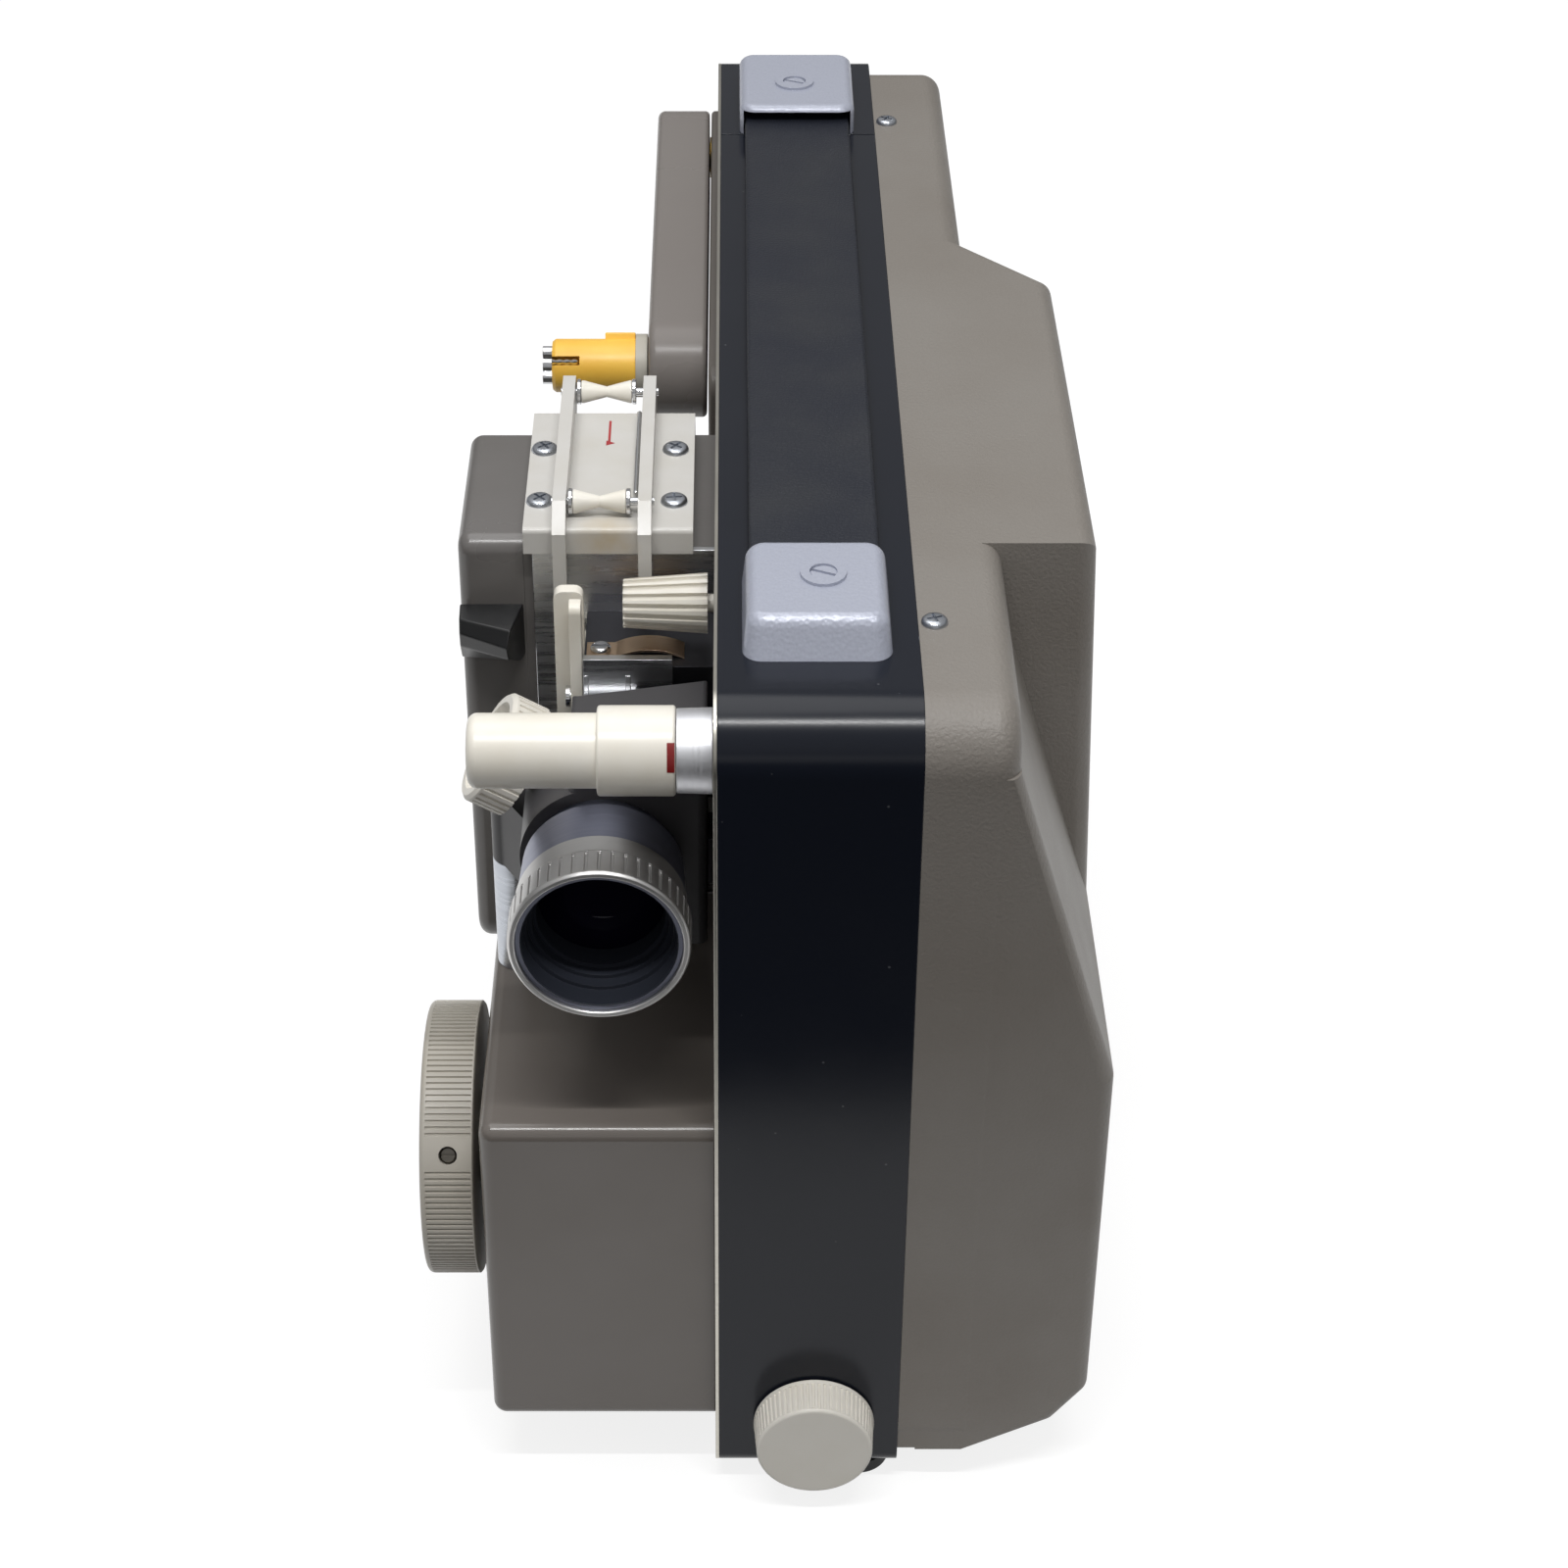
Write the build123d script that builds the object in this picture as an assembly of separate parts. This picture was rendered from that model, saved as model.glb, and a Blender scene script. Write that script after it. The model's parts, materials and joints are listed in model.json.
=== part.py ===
from build123d import *
import math
import os

os.makedirs("parts", exist_ok=True)

# A portable film projector for 8 mm film, in millimetres, +Z up.
# While it is drawn, X is 0 on the operator's face of the main plate and grows
# towards the motor cover, Y is 0 on the front of the centre band and grows
# towards the rear, and Z is 0 on the surface that the rubber feet stand on.
# The last lines move everything so that the origin is the middle of the footprint.

# Overall sizes of the centre casing
CASE_LENGTH = 334.0
CASE_HEIGHT = 202.5
BAND_WIDTH = 41.0
FEET_HEIGHT = 5.5
BASE = FEET_HEIGHT
TOP = BASE + CASE_HEIGHT
CORNER_TOP = 13.0
CORNER_LOW = 4.0

# Main plate and the band round it
PLATE_LIP = 0.8
PLATE_THICK = 4.0
FIELD_PROUD = 1.9
FIELD_FRONT = 165.0
FIELD_REAR_INSET = 10.0
FIELD_TOP_DROP = 12.0
FIELD_LOW_DROP = 150.0
FIELD_CORNER = 6.0
BAND_WALL = 2.0
BAND_GAP = 0.1
SEAM_FROM_REAR = 58.0
SEAM_GAP = 0.4

# Motor cover on the right
COVER_BASE_DEPTH = 19.0
COVER_DEPTH = 42.7
COVER_WALL = 2.5
COVER_REAR_STEP = 8.0
COVER_BOTTOM_STEP = 4.8
COVER_ROOT = 4.0
SHOULDER_Y = 68.0
SHOULDER_DEPTH = 93.0
FACET_START = 13.0
BLOCK_REAR = 213.0
BLOCK_SLANT = 22.0
BLOCK_DRAFT = 3.7
CHIN_DEPTH = 14.0
CHIN_STEP = 8.0
CHIN_RISE = 5.0
FRONT_RECEDE = 5.0
COVER_ROUND = 5.0
BULGE_ROUND = 4.0
COVER_SCREW_IN = 3.3
COVER_SCREW_FRONT = 37.0
COVER_SCREW_REAR = 50.0

# Lower housing with the function dial
HOUSING_DEPTH = 50.0
HOUSING_FRONT = 3.0
HOUSING_LENGTH = 86.0
HOUSING_TOP_DROP = 105.0
HOUSING_LIFT = 12.5
HOUSING_WALL = 2.2
HOUSING_ROUND = 3.0
FILM_SLOT = 3.0
DIAL_RADIUS = 30.6
DIAL_THICK = 11.9
DIAL_STANDOFF = 2.3
DIAL_Y = 40.4
DIAL_ABOVE_MIDDLE = 8.6
DIAL_SHAFT = 4.0
DIAL_SCREW_ANGLE = 33.0

# Running clearances
SHAFT_PLAY = 0.05
SIDE_PLAY = 0.3
SLIDE_PLAY = 0.1

# Handle on top
STRAP_WIDTH = 27.0
STRAP_THICK = 3.2
STRAP_BOW = 1.2
STRAP_X = 20.6
CAP_WIDTH = 29.8
CAP_HEIGHT = 8.0
CAP_WALL = 2.0
CAP_ROOF = 1.5
CAP_PLAY = 0.4
FRONT_CAP_Y = 22.5
FRONT_CAP_LENGTH = 34.0
REAR_CAP_FROM_REAR = 59.0
REAR_CAP_LENGTH = 37.0
HANDLE_SCREW_RADIUS = 3.0

# Reel arm and the two spindles
ARM_DROP = 24.0
ARM_PIVOT_FROM_REAR = 18.5
ARM_LENGTH = 122.5
ARM_RADIUS = 12.5
ARM_GAP = 2.4
ARM_THICK = 14.1
ARM_POST = 4.0
ARM_WASHER = 5.5
SPINDLE_RADIUS = 6.5
SPINDLE_LENGTH = 20.3
SPINDLE_COLLAR = 3.2
SPINDLE_SHAFT = 2.5
SPINDLE_TIP = 2.4
KEY_LENGTH = 7.5
KEY_GROOVE = 0.8
TAKEUP_FROM_REAR = 82.0
TAKEUP_DROP = 128.0
TAKEUP_STANDOFF = 15.0
CLUTCH_RADIUS = 24.0

# Film guide plate and its rollers
GUIDE_LEFT = -41.4
GUIDE_RIGHT = -4.7
GUIDE_FRONT = 88.0
GUIDE_LENGTH = 53.0
GUIDE_DROP = 8.5
GUIDE_THICK = 6.1
FIN_DROP = 2.5
FIN_LEFT = -34.9
FIN_RIGHT = -13.6
FIN_THICK = 2.9
ROLLER_RADIUS = 2.9
ROLLER_WAIST = 1.7
ROLLER_PIN = 0.9
ROLLER_DROP = 5.6
FRONT_ROLLER_Y = 95.0
REAR_ROLLER_Y = 145.0
WIRE_RADIUS = 0.6
GUIDE_SCREW_RADIUS = 3.0

# Lamp house
LAMP_FRONT = 91.0
LAMP_LENGTH = 50.0
LAMP_FLOOR_DROP = 125.0
LAMP_FRAME_LEFT = -41.6
LAMP_COVER_LEFT = -56.0
LAMP_COVER_DROP = 13.0
LAMP_WALL = 1.6
SHIELD_THICK = 1.5
LATCH_WIDTH = 14.0
LATCH_TRAVEL = 4.0

# Optical line, from the lens to the lamp
LENS_X = -23.0
LENS_DROP = 53.5
LENS_Z = TOP - LENS_DROP
RING_RADIUS = 18.6
RING_LENGTH = 8.0
NOSE_RADIUS = 17.0
NOSE_WALL = 1.2
BARREL_RADIUS = 17.7
BARREL_SHOULDER = 26.0
SLEEVE_RADIUS = 14.9
SLEEVE_END = 54.0
GLASS_RADIUS = 13.0
GLASS_Y = 13.0
FOCUS_TRAVEL = 3.0
CARRIER_WALL = 2.6
CARRIER_LEFT = -30.0
CARRIER_RIGHT = -1.5
CARRIER_FRONT = 30.0
CARRIER_REAR = 56.5
CARRIER_REAR_RIGHT = 62.5
CARRIER_TOP_DROP = 30.0
CARRIER_LOW_DROP = 76.0
CARRIER_HINGE_X = -44.0
CARRIER_HINGE_Y = 62.5
HINGE_PIN = 2.0
HINGE_LUG = 5.0
HINGE_LUG_HEIGHT = 19.0
APERTURE_Y = 65.0
APERTURE_THICK = 2.0
FILM_GAP = 0.7
PRESSURE_SEAT = 55.5
PRESSURE_HALF_HEIGHT = 18.0
LEVER_THICK = 2.6
LEVER_PIN = 1.3
LEAF_THICK = 0.5
LEAF_BOW = 1.8
GATE_REAR = 89.5
GATE_BORE = 4.0
BEAM_RADIUS = 8.0
LAMP_Y = 112.0
MIRROR_RADIUS = 17.0
CLAW_STROKE = 4.2

# Knobs on the operator's side
CONTROL_Y = 14.0
CONTROL_DROP = 15.4
CONTROL_COLLAR = 7.4
CONTROL_WIDE = 9.0
CONTROL_NARROW = 7.5
CONTROL_STEP = 22.9
CONTROL_LENGTH = 48.5
CONTROL_SHAFT = 3.0
FRAMING_Y = 75.0
FRAMING_DROP = 19.0
FRAMING_RADIUS = 6.5
FRAMING_LENGTH = 18.0
FRAMING_SHAFT = 2.0
FRAMING_RIBS = 16
FOCUS_RADIUS = 12.4
FOCUS_THICK = 8.6
FOCUS_RISE = 30.0
FOCUS_Y = 50.7
FOCUS_STANDOFF = 2.7
FOCUS_SHAFT = 2.5
FOCUS_RIBS = 36

# Drive inside the casing
DRIVE_X = 14.0
DRIVE_DROP = 60.0
DRIVE_Z = TOP - DRIVE_DROP
DRIVE_SHAFT = 3.0
SHUTTER_RADIUS = 42.0
SHUTTER_Y = 95.0
SHUTTER_THICK = 0.8
PULLEY_Y = 154.0
PULLEY_WIDTH = 7.0
DRIVE_PULLEY = 8.0
MOTOR_PULLEY = 4.0
BELT_RADIUS = 1.5
BELT_GAP = 0.3
MOTOR_X = 31.0
MOTOR_RISE = 43.0
MOTOR_Z = BASE + MOTOR_RISE
MOTOR_RADIUS = 22.0
MOTOR_FRONT = 74.0
MOTOR_LENGTH = 58.0
MOTOR_SHAFT = 2.5
FAN_RADIUS = 24.0
FAN_LENGTH = 16.0
FAN_BLADES = 6
TRANSFORMER_Y = 196.0
INLET_X = 21.0
INLET_RISE = 26.0

# Tilting foot at the front
TILT_X = 22.0
TILT_RISE = 14.5
TILT_RADIUS = 13.5
TILT_FACE = 12.9
TILT_THICK = 9.0
TILT_SHAFT = 3.0
TILT_PINION = 6.0
FOOT_ROD = 4.0
FOOT_PAD = 7.0
FOOT_LIFT = 1.0
FOOT_TRAVEL = 12.0
RUBBER_RADIUS = 7.0

# Small fasteners
SCREW_RADIUS = 2.75
SCREW_SHANK = 1.5


def block(x0, x1, y0, y1, z0, z1):
    """A box between two corners."""
    middle = Pos((x0 + x1) / 2, (y0 + y1) / 2, (z0 + z1) / 2)
    return middle * Box(abs(x1 - x0), abs(y1 - y0), abs(z1 - z0))


def rod_x(radius, x0, x1, y, z):
    """A round bar along X."""
    return Pos((x0 + x1) / 2, y, z) * Rot(0, 90, 0) * Cylinder(radius, abs(x1 - x0))


def rod_y(radius, y0, y1, x, z):
    """A round bar along Y."""
    return Pos(x, (y0 + y1) / 2, z) * Rot(90, 0, 0) * Cylinder(radius, abs(y1 - y0))


def rod_z(radius, z0, z1, x, y):
    """A round bar along Z."""
    return Pos(x, y, (z0 + z1) / 2) * Cylinder(radius, abs(z1 - z0))


def cone_x(radius_low, radius_high, x_low, x_high, y, z):
    """A cone along X; the first radius is at the lower X."""
    middle = Pos((x_low + x_high) / 2, y, z)
    return middle * Rot(0, 90, 0) * Cone(radius_low, radius_high, x_high - x_low)


def cone_y(radius_front, radius_rear, y_front, y_rear, x, z):
    """A cone along Y; the first radius is at the front."""
    middle = Pos(x, (y_front + y_rear) / 2, z)
    return middle * Rot(-90, 0, 0) * Cone(radius_front, radius_rear, y_rear - y_front)


def side_face(y0, y1, z0, z1, radius_top, radius_low):
    """A rectangle seen from the side, with its own radii at the top and at the bottom."""
    face = Pos((y0 + y1) / 2, (z0 + z1) / 2) * Rectangle(y1 - y0, z1 - z0)
    corners = face.vertices().sort_by(Axis.Y)
    face = fillet(corners[2:], radius_top)
    corners = face.vertices().sort_by(Axis.Y)
    return fillet(corners[:2], radius_low)


def side_slab(face, x0, x1):
    """A side face given thickness along X."""
    return extrude(Plane.YZ.offset(x0) * face, x1 - x0)


def front_slab(points, y0, y1):
    """A polygon of x, z points given thickness along Y."""
    face = make_face(Polyline(*[(x, y0, z) for x, z in points], close=True))
    return extrude(face, y1 - y0, dir=(0, 1, 0))


def plan_slab(points, z0, z1):
    """A polygon of x, y points given thickness along Z."""
    face = make_face(Polyline(*[(x, y, z0) for x, y in points], close=True))
    return extrude(face, z1 - z0, dir=(0, 0, 1))


def profile_slab(points, x0, x1):
    """A polygon of y, z points given thickness along X."""
    face = make_face(Polyline(*[(x0, y, z) for y, z in points], close=True))
    return extrude(face, x1 - x0, dir=(1, 0, 0))


def case_face(inset):
    """The outline of the centre casing, drawn in by an inset."""
    low_radius = max(CORNER_LOW - inset, 0.5)
    return side_face(inset, CASE_LENGTH - inset, BASE + inset, TOP - inset,
                     CORNER_TOP - inset, low_radius)


def screw_z(x, y, z_head, head_radius=SCREW_RADIUS, length=6.0):
    """A domed screw whose head rises from z_head, with its shank below."""
    head = rod_z(head_radius, z_head, z_head + 1.2, x, y)
    head = fillet(head.edges().group_by(Axis.Z)[-1], 0.8)
    slot = block(x - head_radius, x + head_radius, y - 0.4, y + 0.4, z_head + 0.6, z_head + 2)
    return head + rod_z(SCREW_SHANK, z_head - length, z_head, x, y) - slot


def screw_hole_z(x, y, z_head, length=6.0):
    """The clearance hole for the shank of a screw set along Z."""
    return rod_z(SCREW_SHANK, z_head - length - 0.2, z_head + 0.1, x, y)


# Centre casing

def main_plate():
    """Cast plate that carries everything; its thin lip shows along the edge of the band."""
    lip = side_slab(case_face(0), 0, PLATE_LIP)
    core = side_slab(case_face(BAND_WALL + BAND_GAP), PLATE_LIP, PLATE_THICK)
    # Raised field behind the reel arm, with a round recess for the arm's washer
    field = side_face(FIELD_FRONT, CASE_LENGTH - FIELD_REAR_INSET, TOP - FIELD_LOW_DROP,
                      TOP - FIELD_TOP_DROP, FIELD_CORNER, FIELD_CORNER)
    raised = side_slab(field, -FIELD_PROUD, PLATE_LIP)
    raised = fillet(raised.faces().sort_by(Axis.X)[0].edges(), 1.0)
    raised -= rod_x(ARM_WASHER + 1.5, -FIELD_PROUD - 1, 0, ARM_PIVOT_Y, ARM_Z)
    plate = lip + core + raised
    through = PLATE_THICK + 1
    plate -= rod_x(ARM_POST, -1, through, ARM_PIVOT_Y, TOP - ARM_DROP)
    plate -= rod_x(SPINDLE_SHAFT + SHAFT_PLAY, -FIELD_PROUD - 1, through, TAKEUP_Y, TOP - TAKEUP_DROP)
    plate -= rod_x(FRAMING_SHAFT + SHAFT_PLAY, -1, through, FRAMING_Y, TOP - FRAMING_DROP)
    plate -= rod_x(CONTROL_SHAFT + SHAFT_PLAY, -1, through, CONTROL_Y, TOP - CONTROL_DROP)
    # The slot that the shutter turns in, and the window for the claw
    reach = math.sqrt(SHUTTER_RADIUS ** 2 - (DRIVE_X - PLATE_THICK) ** 2) + 2
    plate -= block(-1, through, SHUTTER_Y - 2.5, SHUTTER_Y + 3.3, DRIVE_Z - reach, DRIVE_Z + reach)
    plate -= block(-1, through, CLAW_Y - 2, CLAW_Y + 4, CLAW_Z - 6, CLAW_Z + 10)
    # Cooling slots from the fan into the lamp house
    for row in range(4):
        z = TOP - 78 - row * 9
        plate -= block(-1, through, LAMP_FRONT + 14, LAMP_FRONT + 40, z - 3.5, z)
    return plate


def band_ring():
    """The whole band before it is parted at the seam."""
    ring = side_slab(case_face(0), PLATE_LIP, BAND_WIDTH)
    return ring - side_slab(case_face(BAND_WALL), PLATE_LIP - 1, BAND_WIDTH + 1)


def front_band():
    """Black painted band over the front, the top and the bottom."""
    seam = CASE_LENGTH - SEAM_FROM_REAR
    band = band_ring() - block(0, BAND_WIDTH + 1, seam, CASE_LENGTH + 1, 0, TOP + 1)
    band -= rod_y(TILT_SHAFT + SHAFT_PLAY, -1, BAND_WALL + 1, TILT_X, TILT_Z)
    band -= rod_z(FOOT_ROD + SLIDE_PLAY, BASE - 1, BASE + BAND_WALL + 1, FOOT_X, FOOT_Y)
    x, y = FRONT_CAP_SCREW
    band -= rod_z(SCREW_SHANK, TOP - BAND_WALL - 1, TOP + 1, x, y)
    # Air inlets under the motor
    for count in range(7):
        y = MOTOR_FRONT + count * 8
        band -= block(12, 34, y, y + 3, BASE - 1, BASE + BAND_WALL + 1)
    x, y = cover_screw_places()[0]
    return band + cover_lug(y) - screw_hole_z(x, y, TOP)


def cover_lug(y):
    """Lug of the band that reaches under the motor cover and takes one of its screws."""
    low = TOP - COVER_WALL
    lug = block(COVER_IN - 8, COVER_IN + 9, y - 5, y + 5, low - 5, low)
    return lug + block(COVER_IN - 8, COVER_IN, y - 5, y + 5, low, TOP - BAND_WALL)


def rear_band():
    """Separate rear piece of the band, with air slots, a lug and the hole for the inlet."""
    seam = CASE_LENGTH - SEAM_FROM_REAR + SEAM_GAP
    band = band_ring() - block(0, BAND_WIDTH + 1, -1, seam, 0, TOP + 1)
    x, y = REAR_CAP_SCREW
    band -= rod_z(SCREW_SHANK, TOP - BAND_WALL - 1, TOP + 1, x, y)
    for count in range(6):
        z = TOP - 60 - count * 8
        band -= block(9, 33, CASE_LENGTH - BAND_WALL - 1, CASE_LENGTH + 1, z, z + 3)
    x0, x1, z0, z1 = inlet_edges(SLIDE_PLAY)
    band -= block(x0, x1, CASE_LENGTH - BAND_WALL - 1, CASE_LENGTH + 1, z0, z1)
    x, y = cover_screw_places()[1]
    return band + cover_lug(y) - screw_hole_z(x, y, TOP)


def offset_points(points, inset):
    """The corners of a polygon, listed clockwise, after every side is moved in by an inset."""
    moved = []
    for index, corner in enumerate(points):
        before = Vector(*corner) - Vector(*points[index - 1])
        after = Vector(*points[(index + 1) % len(points)]) - Vector(*corner)
        first = Vector(before.Y, -before.X).normalized()
        second = Vector(after.Y, -after.X).normalized()
        shift = (first + second) * (inset / (1 + first.dot(second)))
        moved.append((corner[0] + shift.X, corner[1] + shift.Y))
    return moved


def cover_bulge(inset):
    """The faceted motor bulge as two convex pieces: a tall rear block and a sloping front."""
    root = COVER_IN + COVER_ROOT
    low = BASE + COVER_BOTTOM_STEP
    chin = [(COVER_OUT, low + CHIN_DEPTH), (COVER_OUT - CHIN_STEP, low + CHIN_RISE),
            (COVER_BASE_OUT, low + 0.2), (root, low + 0.2)]
    block_section = [(root, TOP), (COVER_OUT - BLOCK_DRAFT, TOP), (COVER_OUT, TOP - SHOULDER_DEPTH)] + chin
    front_section = [(root, TOP - FACET_START), (COVER_BASE_OUT, TOP - FACET_START),
                     (COVER_OUT, TOP - SHOULDER_DEPTH)] + chin
    far = COVER_OUT + 1
    slant = BLOCK_SLANT / (COVER_OUT - BLOCK_DRAFT - COVER_BASE_OUT)
    plan = [(root, BLOCK_REAR), (COVER_BASE_OUT, BLOCK_REAR),
            (far, BLOCK_REAR - slant * (far - COVER_BASE_OUT)),
            (far, FRONT_RECEDE), (COVER_BASE_OUT, 0.3), (root, 0.3)]
    outline = plan_slab(offset_points(plan, inset), BASE, TOP + 1)
    rear_part = front_slab(offset_points(block_section, inset), SHOULDER_Y + inset, BLOCK_REAR + 1)
    front_part = front_slab(offset_points(front_section, inset), -1, BLOCK_REAR + 1)
    return [rear_part & outline, front_part & outline]


def rounded_outside(piece, radius):
    """A piece of the bulge with its outer edges rounded."""
    outer_edges = piece.edges().filter_by(lambda edge: edge.center().X > COVER_BASE_OUT + 3)
    return fillet(outer_edges, radius)


def cover_base(inset):
    """The flat layer of the motor cover that lies against the band."""
    face = side_face(inset, CASE_LENGTH - COVER_REAR_STEP - inset,
                     BASE + COVER_BOTTOM_STEP + inset, TOP - inset,
                     CORNER_TOP - inset, CORNER_TOP - 5 - inset)
    return side_slab(face, COVER_IN, COVER_BASE_OUT - inset)


def right_cover():
    """Moulded cover over the motor side: a rounded base layer, the bulge, and one wall all over."""
    base = cover_base(0)
    base = fillet(base.faces().sort_by(Axis.X)[-1].edges(), COVER_ROUND)
    cover = base
    for piece in cover_bulge(0):
        cover += rounded_outside(piece, BULGE_ROUND)
    cover -= cover_base(COVER_WALL)
    for piece in cover_bulge(COVER_WALL):
        cover -= piece
    for x, y in cover_screw_places():
        cover -= screw_hole_z(x, y, TOP)
    return cover


def cover_screw_places():
    """Two screws on top of the motor cover, just beside the band."""
    x = COVER_IN + COVER_SCREW_IN
    return [(x, COVER_SCREW_FRONT), (x, CASE_LENGTH - COVER_SCREW_REAR)]


def cover_screws():
    """The two domed screws on top of the motor cover."""
    return [screw_z(x, y, TOP) for x, y in cover_screw_places()]


# Handle

def handle_strap():
    """Flat vinyl strap that lies on the band and slides in its two end caps."""
    y0 = FRONT_CAP_Y + 6
    y1 = REAR_CAP_Y + REAR_CAP_LENGTH - 6
    middle = (y0 + y1) / 2
    low = TOP + 0.2
    lower = ThreePointArc((0, y0, low), (0, middle, low + STRAP_BOW), (0, y1, low))
    end = Line((0, y1, low), (0, y1, low + STRAP_THICK))
    upper = ThreePointArc((0, y1, low + STRAP_THICK), (0, middle, low + STRAP_BOW + STRAP_THICK),
                          (0, y0, low + STRAP_THICK))
    start = Line((0, y0, low + STRAP_THICK), (0, y0, low))
    face = make_face([lower, end, upper, start])
    strap = Pos(STRAP_X - STRAP_WIDTH / 2, 0, 0) * extrude(face, STRAP_WIDTH, dir=(1, 0, 0))
    long_edges = strap.edges().filter_by(lambda edge: edge.length > CASE_LENGTH / 2)
    strap = fillet(long_edges, 1.0)
    for x, y in (FRONT_CAP_SCREW, REAR_CAP_SCREW):
        strap -= block(x - 2.4, x + 2.4, y - 6, y + 6, TOP - 1, TOP + STRAP_THICK + 3)
    return strap


def handle_cap(y0, y1, open_front, screw):
    """Hammered metal cap over one end of the strap; one end of it is open for the strap."""
    x0 = STRAP_X - CAP_WIDTH / 2
    x1 = STRAP_X + CAP_WIDTH / 2
    cap = block(x0, x1, y0, y1, TOP, TOP + CAP_HEIGHT)
    cap = fillet(cap.edges().filter_by(Axis.Z), 4.0)
    cap = fillet(cap.faces().sort_by(Axis.Z)[-1].edges(), 2.4)
    pocket_x0 = STRAP_X - STRAP_WIDTH / 2 - CAP_PLAY
    pocket_x1 = STRAP_X + STRAP_WIDTH / 2 + CAP_PLAY
    pocket_z = TOP + CAP_HEIGHT - CAP_ROOF
    pocket_y0 = y0 - 1 if open_front else y0 + CAP_WALL + 1
    pocket_y1 = y1 - CAP_WALL - 1 if open_front else y1 + 1
    cap -= block(pocket_x0, pocket_x1, pocket_y0, pocket_y1, TOP - 1, pocket_z)
    x, y = screw
    cap += rod_z(HANDLE_SCREW_RADIUS + 2, TOP + CAP_HEIGHT, TOP + CAP_HEIGHT + 0.7, x, y)
    cap += rod_z(SCREW_SHANK + 0.4, TOP, TOP + CAP_HEIGHT - 0.5, x, y)
    cap -= rod_z(HANDLE_SCREW_RADIUS, TOP + CAP_HEIGHT - 0.8, TOP + CAP_HEIGHT + 1, x, y)
    return cap - rod_z(SCREW_SHANK, TOP - 1, TOP + CAP_HEIGHT + 1, x, y)


def front_handle_cap():
    return handle_cap(FRONT_CAP_Y, FRONT_CAP_Y + FRONT_CAP_LENGTH, False, FRONT_CAP_SCREW)


def rear_handle_cap():
    return handle_cap(REAR_CAP_Y, REAR_CAP_Y + REAR_CAP_LENGTH, True, REAR_CAP_SCREW)


def handle_screws():
    """The slotted screw of each handle cap, sunk into its raised ring."""
    seat = TOP + CAP_HEIGHT - 0.8
    screws = []
    for x, y in (FRONT_CAP_SCREW, REAR_CAP_SCREW):
        screws.append(screw_z(x, y, seat, HANDLE_SCREW_RADIUS - SHAFT_PLAY, CAP_HEIGHT + 2))
    return screws


# Reel arm, spindles

def pill(y0, y1, z, radius, x0, x1):
    """A bar with round ends, seen from the side, given thickness along X."""
    middle = block(x0, x1, y0, y1, z - radius, z + radius)
    return middle + rod_x(radius, x0, x1, y0, z) + rod_x(radius, x0, x1, y1, z)


def reel_arm():
    """Folding arm for the supply reel: softly rounded, tapering a little towards the spindle."""
    x0 = -ARM_GAP - ARM_THICK
    arm = pill(ARM_SPINDLE_Y, ARM_PIVOT_Y, ARM_Z, ARM_RADIUS, x0, -ARM_GAP)
    arm = fillet(arm.faces().sort_by(Axis.X)[0].edges(), 2.0)
    arm = fillet(arm.faces().sort_by(Axis.X)[-1].edges(), 1.2)
    arm -= rod_x(ARM_POST + SHAFT_PLAY, -ARM_GAP - ARM_THICK + 4, 0, ARM_PIVOT_Y, ARM_Z)
    return arm - rod_x(SPINDLE_SHAFT + SHAFT_PLAY, x0 - 1, x0 + 10, ARM_SPINDLE_Y, ARM_Z)


def arm_post():
    """Brass pivot post of the arm with its washer face against the main plate."""
    post = rod_x(ARM_POST, -ARM_GAP - ARM_THICK + 4.5, PLATE_THICK + 2, ARM_PIVOT_Y, ARM_Z)
    washer = rod_x(ARM_WASHER, -ARM_GAP + SLIDE_PLAY, 0, ARM_PIVOT_Y, ARM_Z)
    nut = rod_x(ARM_POST + 3, PLATE_THICK, PLATE_THICK + 4, ARM_PIVOT_Y, ARM_Z)
    return post + washer + nut


def reel_hub(x_base, y, z):
    """Hub that a film reel slips on, with its key on top and a slot near the tip."""
    hub = rod_x(SPINDLE_RADIUS, x_base - SPINDLE_LENGTH, x_base, y, z)
    hub = chamfer(hub.edges().group_by(Axis.X)[0], 0.8)
    hub += block(x_base - KEY_LENGTH, x_base, y - 1.2, y + 1.2, z, z + SPINDLE_RADIUS + 1.6)
    # A fine groove parts the keyed root from the round seat of the reel
    groove_end = x_base - KEY_LENGTH - KEY_GROOVE
    hub -= rod_x(SPINDLE_RADIUS + 1, groove_end, x_base - KEY_LENGTH, y, z) - rod_x(
        SPINDLE_RADIUS - 0.2, groove_end - 1, x_base - KEY_LENGTH + 1, y, z)
    slot_end = x_base - SPINDLE_LENGTH - 1
    high = z + SPINDLE_RADIUS + 1
    hub -= block(slot_end, slot_end + 6.5, y - 1.1, y + 1.1, z + SPINDLE_SHAFT + 1, high)
    return hub - rod_x(SPINDLE_SHAFT, slot_end, x_base + 1, y, z)


def lobed_tip(x_base, y, z):
    """Three-lobed locking tip at the end of a spindle shaft."""
    x0 = x_base - SPINDLE_LENGTH - SPINDLE_TIP
    tip = rod_x(3.0, x0, x_base - SPINDLE_LENGTH, y, z)
    for turn in range(3):
        angle = math.radians(90 + turn * 120)
        dy = 3.4 * math.cos(angle)
        dz = 3.4 * math.sin(angle)
        tip += rod_x(1.7, x0, x_base - SPINDLE_LENGTH, y + dy, z + dz)
    return tip


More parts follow.
